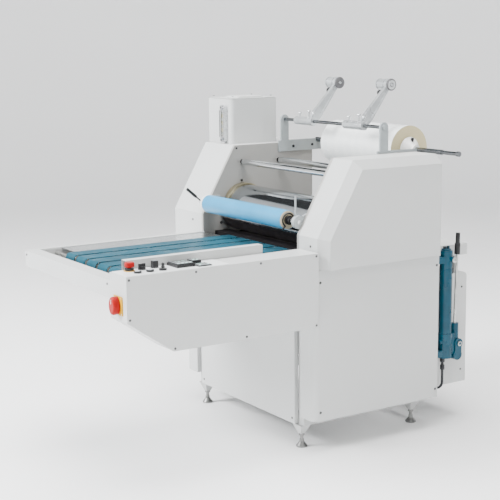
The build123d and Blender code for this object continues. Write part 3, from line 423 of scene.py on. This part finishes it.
BLUE_FILM_START = 0.0395
BLUE_CORE_REACH = 0.0405
BLUE_PLUG_LENGTH = 0.0085
BLUE_CHUCK_LENGTH = 0.040
BLUE_BAR_REACH = 0.0102
blue = middle("blue_film_roll")
blue_low, blue_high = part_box("blue_film_roll")
dress("blue_film_roll", "blue_film",
      (lambda c, n: is_end(n) and off_axis(c, blue) > BLUE_FILM_START, "blue_end"),
      (lambda c, n: c.x > blue.x and off_axis(c, blue) < BLUE_CORE_REACH, "paper"),
      (lambda c, n: c.x < blue_low.x + BLUE_PLUG_LENGTH, "white_plastic"))
dress("blue_film_shaft", "black_steel",
      (lambda c, n: c.x > blue_high.x + BLUE_CHUCK_LENGTH or off_axis(c, blue) < BLUE_BAR_REACH,
       "steel"))

GLASS_HALF_WIDTH = 0.0081
GLASS_HALF_HEIGHT = 0.0595
gauge = middle("level_gauge")
dress("level_gauge", "trim",
      (lambda c, n: abs(c.x - gauge.x) < GLASS_HALF_WIDTH
       and abs(c.z - gauge.z) < GLASS_HALF_HEIGHT, "glass"))


# ------------------------------------------------------------------ mesh helpers
def new_piece(name, mesh, material, body=MACHINE, smooth=True):
    """Object from a bmesh, dressed and riding on a CAD body."""
    data = bpy.data.meshes.new(name)
    mesh.normal_update()
    mesh.to_mesh(data)
    mesh.free()
    for face in data.polygons:
        face.use_smooth = smooth
    made = bpy.data.objects.new(name, data)
    bpy.context.scene.collection.objects.link(made)
    data.materials.append(MATERIALS[material])
    if smooth:
        split = made.modifiers.new("sharp", "EDGE_SPLIT")
        split.split_angle = math.radians(35)
    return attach(made, body)


def frame_of(axis):
    """Rotation that takes +Z to the given direction."""
    return Vector(axis).to_track_quat("Z", "Y").to_matrix().to_4x4()


def lathe(mesh, profile, centre, axis, segments, shape=None):
    """Add a turned ring: its profile of (radius, height) closes on itself.

    shape(index, angle) scales the radius of the profile's point with that index."""
    place = Matrix.Translation(centre) @ frame_of(axis)
    rings = []
    for index, (radius, height) in enumerate(profile):
        ring = []
        for step in range(segments):
            angle = math.tau * step / segments
            reach = radius * (shape(index, angle) if shape else 1.0)
            point = Vector((reach * math.cos(angle), reach * math.sin(angle), height))
            ring.append(mesh.verts.new(place @ point))
        rings.append(ring)
    for low, high in zip(rings, rings[1:] + rings[:1]):
        for step in range(segments):
            follow = (step + 1) % segments
            mesh.faces.new((low[step], low[follow], high[follow], high[step]))


def slab(mesh, low, high, bevel=0.0):
    """Add a box between two corners with rounded edges."""
    low, high = Vector(low), Vector(high)
    made = bmesh.ops.create_cube(mesh, size=1.0)["verts"]
    size, centre = high - low, (low + high) / 2
    for vert in made:
        vert.co = Vector((vert.co.x * size.x, vert.co.y * size.y, vert.co.z * size.z)) + centre
    if bevel:
        edges = {e for v in made for e in v.link_edges}
        bmesh.ops.bevel(mesh, geom=list(edges), offset=bevel, segments=2, affect="EDGES",
                        profile=0.7)


def rope(mesh, points, radius, segments=12):
    """Add a round bar along a list of points."""
    side = Vector((1, 0, 0))
    rings = []
    for index, point in enumerate(points):
        before, after = points[max(index - 1, 0)], points[min(index + 1, len(points) - 1)]
        tangent = (after - before).normalized()
        side = (side - tangent * side.dot(tangent)).normalized()
        other = tangent.cross(side)
        ring = []
        for step in range(segments):
            angle = math.tau * step / segments
            reach = math.cos(angle) * side + math.sin(angle) * other
            ring.append(mesh.verts.new(point + radius * reach))
        rings.append(ring)
    for low, high in zip(rings, rings[1:]):
        for step in range(segments):
            follow = (step + 1) % segments
            mesh.faces.new((low[step], low[follow], high[follow], high[step]))
    mesh.faces.new(list(reversed(rings[0])))
    mesh.faces.new(rings[-1])


def islands(name):
    """Centre, size, low corner and high corner of each separate solid of a CAD node."""
    mesh = nodes[name].data
    parent = {}

    def find(key):
        while parent[key] != key:
            parent[key] = parent[parent[key]]
            key = parent[key]
        return key

    keys = [tuple(round(c, 5) for c in v.co) for v in mesh.vertices]
    for key in keys:
        parent.setdefault(key, key)
    for face in mesh.polygons:
        first = keys[face.vertices[0]]
        for other in face.vertices[1:]:
            parent[find(keys[other])] = find(first)
    groups = {}
    for key in parent:
        groups.setdefault(find(key), []).append(key)
    found = []
    for points in groups.values():
        low = Vector([min(p[i] for p in points) for i in range(3)])
        high = Vector([max(p[i] for p in points) for i in range(3)])
        found.append(((low + high) / 2, high - low, low, high))
    return sorted(found, key=lambda item: tuple(round(c, 4) for c in item[0]))


def hexagon(indexes):
    """Shape that turns the profile's points with those indexes into hexagons."""
    def shape(index, angle):
        if index not in indexes:
            return 1.0
        part = (angle % (math.pi / 3)) - math.pi / 6
        return math.cos(math.pi / 6) / math.cos(part)
    return shape


def socket_head(mesh, centre, axis, radius, height):
    """Button-head screw with a hexagon socket, standing on a face at centre."""
    profile = [(radius * 0.96, 0), (radius, height * 0.12), (radius * 0.97, height * 0.42),
               (radius * 0.84, height * 0.76), (radius * 0.62, height),
               (radius * 0.52, height * 0.97), (radius * 0.5, height * 0.25),
               (radius * 0.1, height * 0.18)]
    lathe(mesh, profile, centre, axis, 30, hexagon((5, 6)))


def nut(mesh, centre, axis, across, height):
    """Chamfered hexagon nut standing on a face at centre."""
    corner = across / math.sqrt(3)
    profile = [(corner * 0.93, 0), (corner, height * 0.12), (corner, height * 0.86),
               (corner * 0.88, height), (corner * 0.5, height)]
    lathe(mesh, profile, centre, axis, 36, hexagon((0, 1, 2, 3)))


def knurled(mesh, centre, axis, radius, height):
    """Knurled thumb knob with a chamfered rim."""
    profile = [(radius * 0.6, 0), (radius * 0.95, height * 0.12), (radius, height * 0.25),
               (radius, height * 0.8), (radius * 0.9, height), (radius * 0.3, height * 0.96)]

    def ridges(index, angle):
        return 1 + (0.035 * math.cos(angle * 20) if index in (2, 3) else 0.0)
    lathe(mesh, profile, centre, axis, 80, ridges)


RIGHT, LEFT = (1, 0, 0), (-1, 0, 0)
FRONT, REAR = (0, -1, 0), (0, 1, 0)
UP = (0, 0, 1)

# Socket-head screws: radius and height of the head.
LID_SCREW = (0.0055, 0.0028)
GAUGE_SCREW = (0.0055, 0.0030)
CHUCK_SCREW = (0.0040, 0.0040)
BRACKET_SCREW = (0.0032, 0.0022)
CROSS_ROD_BOLT = (0.0118, 0.0065)
SWITCH_SCREW = (0.0032, 0.0018)
CASING_REAR_SCREW = (0.0055, 0.0028)
CASING_SIDE_SCREW = (0.0050, 0.0026)

# ------------------------------------------------------------------ screws of the covers
FRONT_HEAD = 0.0024
SIDE_HEAD = 0.0026
SIDE_SEAT = 0.0024
screws = bmesh.new()
for centre, size, low, high in islands("cover_screws"):
    if size.y < size.x:
        socket_head(screws, (centre.x, high.y, centre.z), FRONT, size.x / 2, FRONT_HEAD)
    elif centre.x > 0:
        socket_head(screws, (high.x - SIDE_SEAT, centre.y, centre.z), RIGHT, size.y / 2, SIDE_HEAD)
    else:
        socket_head(screws, (low.x + SIDE_SEAT, centre.y, centre.z), LEFT, size.y / 2, SIDE_HEAD)
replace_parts(new_piece("cover_screw_heads", screws, "dark_zinc"), "cover_screws")

# ------------------------------------------------------------------ bolts and studs of the plates
BOLT_HEAD = 0.005
LONGEST_BOLT = 0.01                 # anything longer is a stud
STUD_SEAT = 0.015                   # start of the stud's body, from its outer end
STUD_SHOULDER = 0.018               # end of the body, from the inner end
STUD_PIN = 0.016
bolts = bmesh.new()
for centre, size, low, high in islands("wall_bolts"):
    inward = -1 if centre.x > hot.x else 1
    outer_x, inner_x = (high.x, low.x) if inward < 0 else (low.x, high.x)
    axis = (inward, 0, 0)
    if size.x < LONGEST_BOLT:
        socket_head(bolts, (outer_x, centre.y, centre.z), axis, size.y / 2, BOLT_HEAD)
        continue
    seat_x = outer_x + inward * STUD_SEAT
    length = abs(seat_x - inner_x) - STUD_SHOULDER
    lathe(bolts, [(0.0105, 0), (0.012, 0.0015), (0.012, length - 0.002), (0.0095, length),
                  (0.006, length), (0.006, length + STUD_PIN)],
          (seat_x, centre.y, centre.z), axis, 32)
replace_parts(new_piece("wall_bolt_heads", bolts, "black_steel"), "wall_bolts")

# ------------------------------------------------------------------ level gauge and oil box
GAUGE_SCREW_INSET = 0.012
LID_SCREW_INSET = 0.018
fittings = bmesh.new()
gauge_low, gauge_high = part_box("level_gauge")
for height in (gauge_low.z + GAUGE_SCREW_INSET, gauge_high.z - GAUGE_SCREW_INSET):
    socket_head(fittings, (gauge.x, gauge_low.y, height), FRONT, *GAUGE_SCREW)
lid_low, lid_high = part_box("oil_box_lid")
for place_x in (lid_low.x + LID_SCREW_INSET, lid_high.x - LID_SCREW_INSET):
    for place_y in (lid_low.y + LID_SCREW_INSET, lid_high.y - LID_SCREW_INSET):
        socket_head(fittings, (place_x, place_y, lid_high.z), UP, *LID_SCREW)
new_piece("oil_box_screws", fittings, "dark_zinc")

LINE_NEAR = 0.0035                  # near and far side of the lines, from the gauge's long edges
LINE_FAR = 0.0075
LINE_ROOT = 0.0005                  # how deep the lines sit in the frame
SCALE_LINES = 9
SCALE_MARGIN = 0.036
scale_lines = bmesh.new()
slab(scale_lines, (gauge_low.x + LINE_NEAR, gauge_low.y - 0.0012, gauge_low.z + 0.026),
     (gauge_low.x + LINE_FAR, gauge_low.y + LINE_ROOT, gauge_high.z - 0.026), 0.0004)
pitch = (gauge_high.z - gauge_low.z - 2 * SCALE_MARGIN) / (SCALE_LINES - 1)
for step in range(SCALE_LINES):
    height = gauge_low.z + SCALE_MARGIN + step * pitch
    slab(scale_lines, (gauge_high.x - LINE_FAR, gauge_low.y - 0.0010, height - 0.0006),
         (gauge_high.x - LINE_NEAR, gauge_low.y + LINE_ROOT, height + 0.0006))
new_piece("level_gauge_scale", scale_lines, "black_plastic", smooth=False)

# ------------------------------------------------------------------ front film roll
SPRING_RADIUS = 0.030
SPRING_WIRE = 0.0032
SPRING_START, SPRING_END = 25, 235  # degrees from +Y towards +Z
SPRING_STEPS = 25
LOWER_TAIL = ((0, -0.017, -0.025), (0.004, -0.030, -0.034), (0.006, -0.041, -0.037))
LOWER_TAIL_WIRE = 0.0038
UPPER_TAIL = ((0, 0.027, 0.013), (0.016, 0.020, 0.022), (0.034, 0.010, 0.020))
wires = bmesh.new()
chuck = Vector((blue_high.x + 0.0045, blue.y, blue.z))
spring = []
for step in range(SPRING_STEPS + 1):
    angle = math.radians(SPRING_START + (SPRING_END - SPRING_START) * step / SPRING_STEPS)
    spring.append(chuck + SPRING_RADIUS * Vector((0, math.cos(angle), math.sin(angle))))
rope(wires, spring, SPRING_WIRE)
rope(wires, [chuck + Vector(offset) for offset in LOWER_TAIL], LOWER_TAIL_WIRE)
rope(wires, [chuck + Vector(offset) for offset in UPPER_TAIL], SPRING_WIRE)
for turn in (60, 180, 300):
    angle = math.radians(turn)
    offset = Vector((0.0095, 0.009 * math.cos(angle), 0.009 * math.sin(angle)))
    socket_head(wires, chuck + offset, RIGHT, *CHUCK_SCREW)
new_piece("film_chuck_spring", wires, "black_steel", "blue_film")

core_rim = bmesh.new()
lathe(core_rim, [(0.0405, 0), (0.0436, 0.0010), (0.0436, 0.0150), (0.0431, 0.0160),
                 (0.0405, 0.0160)],
      (blue_low.x - 0.0004, blue.y, blue.z), RIGHT, 64)
new_piece("film_core_rim", core_rim, "white_plastic", "blue_film")

SHAFT_NUT_ACROSS = 0.036
SHAFT_NUT_HEIGHT = 0.0145
shaft_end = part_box("blue_film_shaft")[1].x
shaft_nut = bmesh.new()
nut(shaft_nut, (shaft_end - 0.0415, blue.y, blue.z), RIGHT, SHAFT_NUT_ACROSS, SHAFT_NUT_HEIGHT)
new_piece("film_shaft_nut", shaft_nut, "steel", "blue_film")

BOSS_SCREWS = 6
BOSS_PITCH_RADIUS = 0.0225
BOSS_DEPTH = 0.020
boss_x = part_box("film_brackets")[1].x - BOSS_DEPTH
boss_screws = bmesh.new()
for turn in range(BOSS_SCREWS):
    angle = math.tau * (turn + 0.5) / BOSS_SCREWS
    socket_head(boss_screws, (boss_x, blue.y + BOSS_PITCH_RADIUS * math.cos(angle),
                              blue.z + BOSS_PITCH_RADIUS * math.sin(angle)), LEFT, *BRACKET_SCREW)
new_piece("film_bracket_screws", boss_screws, "dark_zinc")

clamp_hub = bmesh.new()
clamp = joint_at("film_clamp_turn")
lathe(clamp_hub, [(0.0132, 0), (0.0142, 0.001), (0.0142, 0.0185), (0.012, 0.0205),
                  (0.0105, 0.0205)],
      (clamp.x - 0.0102, clamp.y, clamp.z), RIGHT, 40)
new_piece("film_clamp_hub", clamp_hub, "steel", "film_clamp_lever")

# ------------------------------------------------------------------ supply roll and cross rod
cone_bolt = bmesh.new()
supply_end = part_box("supply_film_roll")[1].x
lathe(cone_bolt, [(0.004, 0), (0.004, 0.010), (0.0075, 0.011), (0.0075, 0.021), (0.006, 0.0225)],
      (supply_end + 0.020, supply.y, supply.z + 0.030), UP, 24)
new_piece("cone_clamp_bolt", cone_bolt, "black_steel", "supply_roll")

ROD_BOLT_SEAT = 0.0065
rod = joint_at("left_arm_swing")
rod_bolts = bmesh.new()
socket_head(rod_bolts, (bracket_low.x + ROD_BOLT_SEAT, rod.y, rod.z), LEFT, *CROSS_ROD_BOLT)
socket_head(rod_bolts, (bracket_high.x - ROD_BOLT_SEAT, rod.y, rod.z), RIGHT, *CROSS_ROD_BOLT)
new_piece("cross_rod_bolts", rod_bolts, "black_steel")

# ------------------------------------------------------------------ trim arms
THUMBSCREWS = ((-0.101, 0.0316), (-0.026, 0.0436), (0.012, 0.0336))  # along and above the rod
THUMBSCREW_SIZE = (0.0078, 0.0088)
AXLE_NUT_ACROSS = 0.012
AXLE_NUT_HEIGHT = 0.004
LOCK_KNOB_SIZE = (0.0135, 0.024)
LOCK_KNOB_REACH = 0.048             # back from the disc's axis along the arm
LOCK_KNOB_INSET = 0.008
HEAD_RINGS = (-0.078, -0.030)       # along X from the middle of the disc
for side_name in ("left", "right"):
    body = side_name + "_trim_arm"
    pivot = joint_at(side_name + "_arm_swing")
    wheel = middle(side_name + "_trim_wheel")
    wheel_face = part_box(side_name + "_trim_wheel")[1].x
    knobs = bmesh.new()
    for offset, rise in THUMBSCREWS:
        knurled(knobs, (pivot.x + offset, pivot.y, pivot.z + rise), UP, *THUMBSCREW_SIZE)
    nut(knobs, (wheel_face - 0.0006, wheel.y, wheel.z), RIGHT, AXLE_NUT_ACROSS, AXLE_NUT_HEIGHT)
    new_piece(side_name + "_arm_thumbscrews", knobs, "steel", body)
    lock_knob = bmesh.new()
    along = Vector((pivot.x, wheel.y, wheel.z)) - pivot
    seat = pivot + along * (1 - LOCK_KNOB_REACH / along.length)
    knurled(lock_knob, (pivot.x - LOCK_KNOB_INSET, seat.y, seat.z), LEFT, *LOCK_KNOB_SIZE)
    new_piece(side_name + "_arm_lock_knob", lock_knob, "black_plastic", body)
    head_rings = bmesh.new()
    for shift in HEAD_RINGS:
        lathe(head_rings, [(0.0262, 0), (0.0268, 0.0008), (0.0268, 0.0035), (0.0262, 0.0043)],
              (wheel.x + shift, wheel.y, wheel.z), RIGHT, 48)
    new_piece(side_name + "_arm_head_rings", head_rings, "dark_steel", body)

face_plate = bmesh.new()
right_wheel = middle("right_trim_wheel")
right_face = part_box("right_trim_wheel")[1].x
lathe(face_plate, [(0.0215, 0), (0.0215, 0.0018), (0.020, 0.0024), (0.010, 0.0024)],
      (right_face - 0.0016, right_wheel.y, right_wheel.z), RIGHT, 48)
new_piece("trim_wheel_cap", face_plate, "steel", "right_trim_wheel")

# ------------------------------------------------------------------ instruments of the panel
# Strokes of a seven-segment figure: a top, b and c right, d bottom, e and f left, g middle.
STROKES = {"0": "abcdef", "1": "bc", "2": "abged", "3": "abgcd", "5": "afgcd"}
STROKE_HEIGHT = 0.0003
NARROWEST_INSTRUMENT = 0.04
TALL_INSTRUMENT = 0.07
WINDOW_INSET_X = 0.009
WINDOW_INSET_Y = 0.008
WINDOW_SHARE = 0.58
FIGURE_INSET = 0.004
LARGEST_FIGURE = 0.016
KEY_INSET = 0.012
KEY_HALF_LENGTH = 0.004


def figure(mesh, text, corner, height):
    """Seven-segment figure lying on the panel, read from the +X side."""
    width, bar = height * 0.55, height * 0.12
    places = {"a": (height - bar, 0, height, width), "d": (0, 0, bar, width),
              "g": ((height - bar) / 2, 0, (height + bar) / 2, width),
              "f": (height / 2, 0, height, bar), "e": (0, 0, height / 2, bar),
              "b": (height / 2, width - bar, height, width),
              "c": (0, width - bar, height / 2, width)}
    for stroke in STROKES[text]:
        x0, y0, x1, y1 = places[stroke]
        slab(mesh, (corner.x - x1, corner.y + y0, corner.z),
             (corner.x - x0, corner.y + y1, corner.z + STROKE_HEIGHT))


panel_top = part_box("panel_plate")[1].z
bezels, windows, figures = bmesh.new(), bmesh.new(), bmesh.new()
for _, size, low, high in islands("panel_instruments"):
    if size.x <= NARROWEST_INSTRUMENT:
        continue
    tall = size.y > TALL_INSTRUMENT
    inset, text, keys = (0.005, "120", 4) if tall else (0.004, "035", 2)
    slab(bezels, (low.x + inset, low.y + inset, high.z - 0.0005),
         (high.x - inset, high.y - inset, high.z + 0.0012), 0.0006)
    glass_low = Vector((low.x + WINDOW_INSET_X, low.y + WINDOW_INSET_Y, high.z + 0.0010))
    glass_high = Vector((glass_low.x + (size.x - 2 * WINDOW_INSET_X) * WINDOW_SHARE,
                         high.y - WINDOW_INSET_Y, high.z + 0.0018))
    slab(windows, glass_low, glass_high, 0.0003)
    pitch = (glass_high.y - glass_low.y - 2 * FIGURE_INSET) / len(text)
    for index, letter in enumerate(text):
        corner = Vector((glass_high.x - FIGURE_INSET, glass_low.y + FIGURE_INSET + index * pitch,
                         glass_high.z))
        figure(figures, letter, corner, min(LARGEST_FIGURE, pitch * 1.2))
    for index in range(keys):
        key_y = low.y + KEY_INSET + index * (size.y - 2 * KEY_INSET) / (keys - 1)
        slab(figures, (high.x - 0.016, key_y - KEY_HALF_LENGTH, high.z + 0.0010),
             (high.x - 0.010, key_y + KEY_HALF_LENGTH, high.z + 0.0028), 0.0008)
new_piece("instrument_bezels", bezels, "grey_plastic")
new_piece("instrument_windows", windows, "display")
new_piece("instrument_figures", figures, "digits", smooth=False)

# ------------------------------------------------------------------ switches of the panel
button_rings = bmesh.new()
for control in ("pushbutton_1", "pushbutton_2"):
    spot = middle(control)
    lathe(button_rings, [(0.0153, 0), (0.0160, 0.0006), (0.0160, 0.0036), (0.0140, 0.0046),
                         (0.0113, 0.0046), (0.0113, 0.0002)],
          (spot.x, spot.y, panel_top + 0.0032), UP, 48)
new_piece("pushbutton_rings", button_rings, "black_plastic")

MARK_HALF_LENGTH = 0.0022
MARK_HALF_WIDTH = 0.0007
MARK_HEIGHT = 0.0004
marks = bmesh.new()
for control, reach in (("selector_knob", 0.024), ("block_switch", 0.022)):
    spot = middle(control)
    for angle in (-45, 0, 45):
        turn = math.radians(angle)
        centre = Vector((spot.x - reach * math.cos(turn), spot.y - reach * math.sin(turn),
                         panel_top))
        slab(marks, centre - Vector((MARK_HALF_LENGTH, MARK_HALF_WIDTH, 0)),
             centre + Vector((MARK_HALF_LENGTH, MARK_HALF_WIDTH, MARK_HEIGHT)))
new_piece("panel_marks", marks, "black_plastic", smooth=False)

POINTER_HALF_WIDTH = 0.0008
pointer = bmesh.new()
knob_low, knob_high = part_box("selector_knob")
knob = middle("selector_knob")
slab(pointer, (knob.x - POINTER_HALF_WIDTH, knob_low.y + 0.001, knob_high.z - 0.0002),
     (knob.x + POINTER_HALF_WIDTH, knob.y, knob_high.z + 0.0005))
new_piece("selector_pointer", pointer, "white_plastic", "selector_knob", smooth=False)

CAP_INSET = 0.004
cap = bmesh.new()
block_low, block_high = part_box("block_switch")
slab(cap, (block_low.x + CAP_INSET, block_low.y + CAP_INSET, block_high.z - 0.0003),
     (block_high.x - CAP_INSET, block_high.y - CAP_INSET, block_high.z + 0.0014), 0.0006)
new_piece("block_switch_cap", cap, "grey_plastic", "block_switch")

boot = bmesh.new()
tilt = joint_at("joystick_tilt")
lathe(boot, [(0.0084, 0.0), (0.0088, 0.0010), (0.0074, 0.0022), (0.0078, 0.0034), (0.0064, 0.0046),
             (0.0068, 0.0058), (0.0054, 0.0070), (0.0056, 0.0080), (0.0044, 0.0090)],
      (tilt.x, tilt.y, panel_top + 0.0112), UP, 40)
new_piece("joystick_boot", boot, "black_plastic", "joystick")

stop_plate = bmesh.new()
stop = middle("estop_button")
lathe(stop_plate, [(0.0235, 0), (0.0240, 0.0004), (0.0240, 0.0014), (0.0232, 0.0018),
                   (0.0184, 0.0018), (0.0184, 0.0)],
      (stop.x, stop.y, panel_top), UP, 56)
new_piece("estop_plate", stop_plate, "yellow_plastic")

# ------------------------------------------------------------------ main switch
SWITCH_SCREW_INSET = 0.006
switch_low, switch_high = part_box("main_switch_plate")
switch = joint_at("main_switch_turn")
tab = bmesh.new()
slab(tab, (switch.x - 0.007, switch_low.y - 0.010, switch_low.z + 0.002),
     (switch.x + 0.011, switch_low.y + 0.0005, switch_low.z + 0.010), 0.0015)
for place_x in (switch_low.x + SWITCH_SCREW_INSET, switch_high.x - SWITCH_SCREW_INSET):
    for height in (switch_low.z + SWITCH_SCREW_INSET, switch_high.z - SWITCH_SCREW_INSET):
        socket_head(tab, (place_x, switch_low.y, height), FRONT, *SWITCH_SCREW)
new_piece("main_switch_tab", tab, "zinc")

turn_low, turn_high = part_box("main_switch_handle")
line = bmesh.new()
slab(line, (switch.x - 0.0035, turn_low.y - 0.0003, switch.z + 0.008),
     (switch.x - 0.0005, turn_low.y + 0.0008, turn_high.z - 0.010), 0.0004)
new_piece("main_switch_pointer", line, "white_plastic", "main_switch_handle", smooth=False)

# ------------------------------------------------------------------ hand pump
FORK_HALF_WIDTH = 0.0285
pump_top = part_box("hand_pump")[1].z
pipe_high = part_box("pump_pipe")[1]
lever_pivot = joint_at("pump_lever_stroke")
pins = bmesh.new()
nut(pins, lever_pivot + Vector((FORK_HALF_WIDTH, 0, 0)), RIGHT, 0.022, 0.008)
nut(pins, lever_pivot - Vector((FORK_HALF_WIDTH, 0, 0)), LEFT, 0.020, 0.004)
lathe(pins, [(0.0122, 0), (0.0130, 0.0006), (0.0130, 0.0040), (0.0118, 0.0048), (0.004, 0.0048),
             (0.004, 0.0022), (0.001, 0.0018)],
      (lever_pivot.x + 0.0435, pipe_high.y + 0.014, pump_top - 0.060), RIGHT, 40)
new_piece("pump_pins", pins, "zinc")

TOP_BOLTS = (-0.0075, 0.0135)       # along Y from the pipe's rear
TOP_BOLT_ACROSS = 0.013
TOP_BOLT_HEIGHT = 0.0128
top_bolts = bmesh.new()
for shift in TOP_BOLTS:
    nut(top_bolts, (lever_pivot.x, pipe_high.y + shift, pump_top - 0.0125), UP,
        TOP_BOLT_ACROSS, TOP_BOLT_HEIGHT)
new_piece("pump_top_bolts", top_bolts, "black_steel")

PIPE_AXIS_INSET = 0.011
UNIONS = ((0.0202, 0.0205, 0.020), (0.0562, 0.0190, 0.022))  # depth, across the flats, height
unions = bmesh.new()
for depth, across, height in UNIONS:
    nut(unions, (lever_pivot.x, pipe_high.y - PIPE_AXIS_INSET, pipe_high.z - depth), UP, across,
        height)
new_piece("pipe_unions", unions, "pipe")

BAR_FOOT = Vector((0, -0.005, 0.085))       # start of the lever's bar, from its pivot
BAR_RUN = Vector((0, 0.013, 0.431))         # the bar from there to its free end
RIB_COUNT = 16
RIB_START = 0.776                           # shares of the bar's length
RIB_PITCH = 0.0132
THIN_START = 0.885
RIB_DEPTH = 0.0012
ribs = bmesh.new()
for index in range(RIB_COUNT):
    share = RIB_START + index * RIB_PITCH
    radius = 0.0137 if share < THIN_START else 0.0107
    lathe(ribs, [(radius - RIB_DEPTH, -0.0013), (radius, -0.0007), (radius, 0.0007),
                 (radius - RIB_DEPTH, 0.0013)],
          lever_pivot + BAR_FOOT + BAR_RUN * share, BAR_RUN, 40)
new_piece("grip_ribs", ribs, "grip", "pump_lever")

KNOB_HEIGHT = 0.0262
valve = middle("release_valve")
valve_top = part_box("release_valve")[1].z
knob_grip = bmesh.new()
knurled(knob_grip, (valve.x, valve.y, valve_top - 0.027), UP, 0.0078, KNOB_HEIGHT)
new_piece("release_knob", knob_grip, "black_plastic", "release_valve")

# ------------------------------------------------------------------ feet
THREAD_START = 0.064
THREAD_PITCH = 0.0026
THREAD_TURNS = 8
threads = bmesh.new()
for centre, _, low, _ in islands("levelling_feet"):
    for turn in range(THREAD_TURNS):
        lathe(threads, [(0.0082, -0.0011), (0.0092, 0.0), (0.0082, 0.0011)],
              (centre.x, centre.y, low.z + THREAD_START + turn * THREAD_PITCH), UP, 32)
    nut(threads, (centre.x, centre.y, low.z + 0.0845), UP, 0.026, 0.0095)
new_piece("feet_lock_nuts", threads, "dark_zinc")

# ------------------------------------------------------------------ rear casing
REAR_SEAT = 0.0025
REAR_INSET = 0.025
SIDE_INSET = 0.030
casing_screws = bmesh.new()
case_low, case_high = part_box("rear_casing")
for place_x in (case_low.x + REAR_INSET, case_high.x - REAR_INSET):
    for height in (case_low.z + 0.040, (case_low.z + case_high.z) / 2, case_high.z - 0.050):
        socket_head(casing_screws, (place_x, case_high.y - REAR_SEAT, height), REAR,
                    *CASING_REAR_SCREW)
for height in (case_low.z + 0.060, case_high.z - 0.070):
    for place_x, outward in ((case_high.x, RIGHT), (case_low.x, LEFT)):
        socket_head(casing_screws, (place_x, case_high.y - SIDE_INSET, height), outward,
                    *CASING_SIDE_SCREW)
new_piece("rear_casing_screws", casing_screws, "dark_zinc")

# ------------------------------------------------------------------ stage, light, camera
STAGE_SIDES = 96
STAGE_RIM = ((0.001, 0.0), (4.0, 0.0), (8.0, 0.0), (9.0, 0.12), (9.8, 0.5), (10.4, 1.2),
             (10.7, 2.2), (10.8, 4.0), (10.8, 7.0))     # radius and height


def build_stage():
    """Round floor whose rim curves up into a wall."""
    floor = bmesh.new()
    rings = []
    for radius, height in STAGE_RIM:
        angles = [math.tau * side / STAGE_SIDES for side in range(STAGE_SIDES)]
        rings.append([floor.verts.new((radius * math.cos(angle), radius * math.sin(angle), height))
                      for angle in angles])
    for low, high in zip(rings, rings[1:]):
        for side in range(STAGE_SIDES):
            follow = (side + 1) % STAGE_SIDES
            floor.faces.new((low[side], high[side], high[follow], low[follow]))
    floor.faces.new(rings[0])
    floor.normal_update()
    bmesh.ops.reverse_faces(floor, faces=floor.faces[:])
    data = bpy.data.meshes.new("stage_floor")
    floor.to_mesh(data)
    floor.free()
    for face in data.polygons:
        face.use_smooth = True
    made = bpy.data.objects.new("stage_floor", data)
    bpy.context.scene.collection.objects.link(made)
    data.materials.append(surface("stage_paper", (0.97, 0.97, 0.97), 0.8, tint=0.01,
                                  tint_scale=0.4, grain=60, bump=0.02, edge=0.01))


def area_light(name, place, target, size, power, colour=(1, 1, 1)):
    data = bpy.data.lights.new(name, "AREA")
    data.shape = "DISK"
    data.size = size
    data.energy = power
    data.color = colour
    made = bpy.data.objects.new(name, data)
    made.location = place
    made.rotation_euler = (Vector(target) - Vector(place)).to_track_quat("-Z", "Y").to_euler()
    bpy.context.scene.collection.objects.link(made)


def build_light():
    world = bpy.data.worlds.new("soft_studio")
    world.use_nodes = True
    background = world.node_tree.nodes["Background"]
    background.inputs["Color"].default_value = (0.95, 0.97, 1.0, 1)
    background.inputs["Strength"].default_value = 0.08
    bpy.context.scene.world = world
    area_light("key", (-2.2, -6.0, 4.8), (0, 0, 0.8), 3.0, 1500, (0.97, 0.985, 1.0))
    area_light("fill", (4.0, -0.6, 4.6), (0.3, 0, 0.7), 2.2, 120, (1.0, 0.99, 0.975))
    area_light("top", (0.5, 0.0, 6.0), (0, 0, 0), 5.0, 760)


def build_camera():
    azimuth, elevation = math.radians(CAMERA_AZIMUTH), math.radians(CAMERA_ELEVATION)
    roll = math.radians(CAMERA_ROLL)
    back = Vector((math.sin(azimuth) * math.cos(elevation),
                   -math.cos(azimuth) * math.cos(elevation), math.sin(elevation)))
    right = Vector((math.cos(azimuth), math.sin(azimuth), 0))
    up = back.cross(right)
    tilted_right = math.cos(roll) * right + math.sin(roll) * up
    tilted_up = -math.sin(roll) * right + math.cos(roll) * up
    data = bpy.data.cameras.new("camera")
    data.lens = CAMERA_LENS
    data.sensor_width = CAMERA_SENSOR
    data.clip_end = CAMERA_REACH
    made = bpy.data.objects.new("camera", data)
    turn = Matrix((tilted_right, tilted_up, back)).transposed().to_4x4()
    made.matrix_world = Matrix.Translation(CAMERA_PLACE) @ turn
    bpy.context.scene.collection.objects.link(made)
    bpy.context.scene.camera = made


build_stage()
build_light()
build_camera()
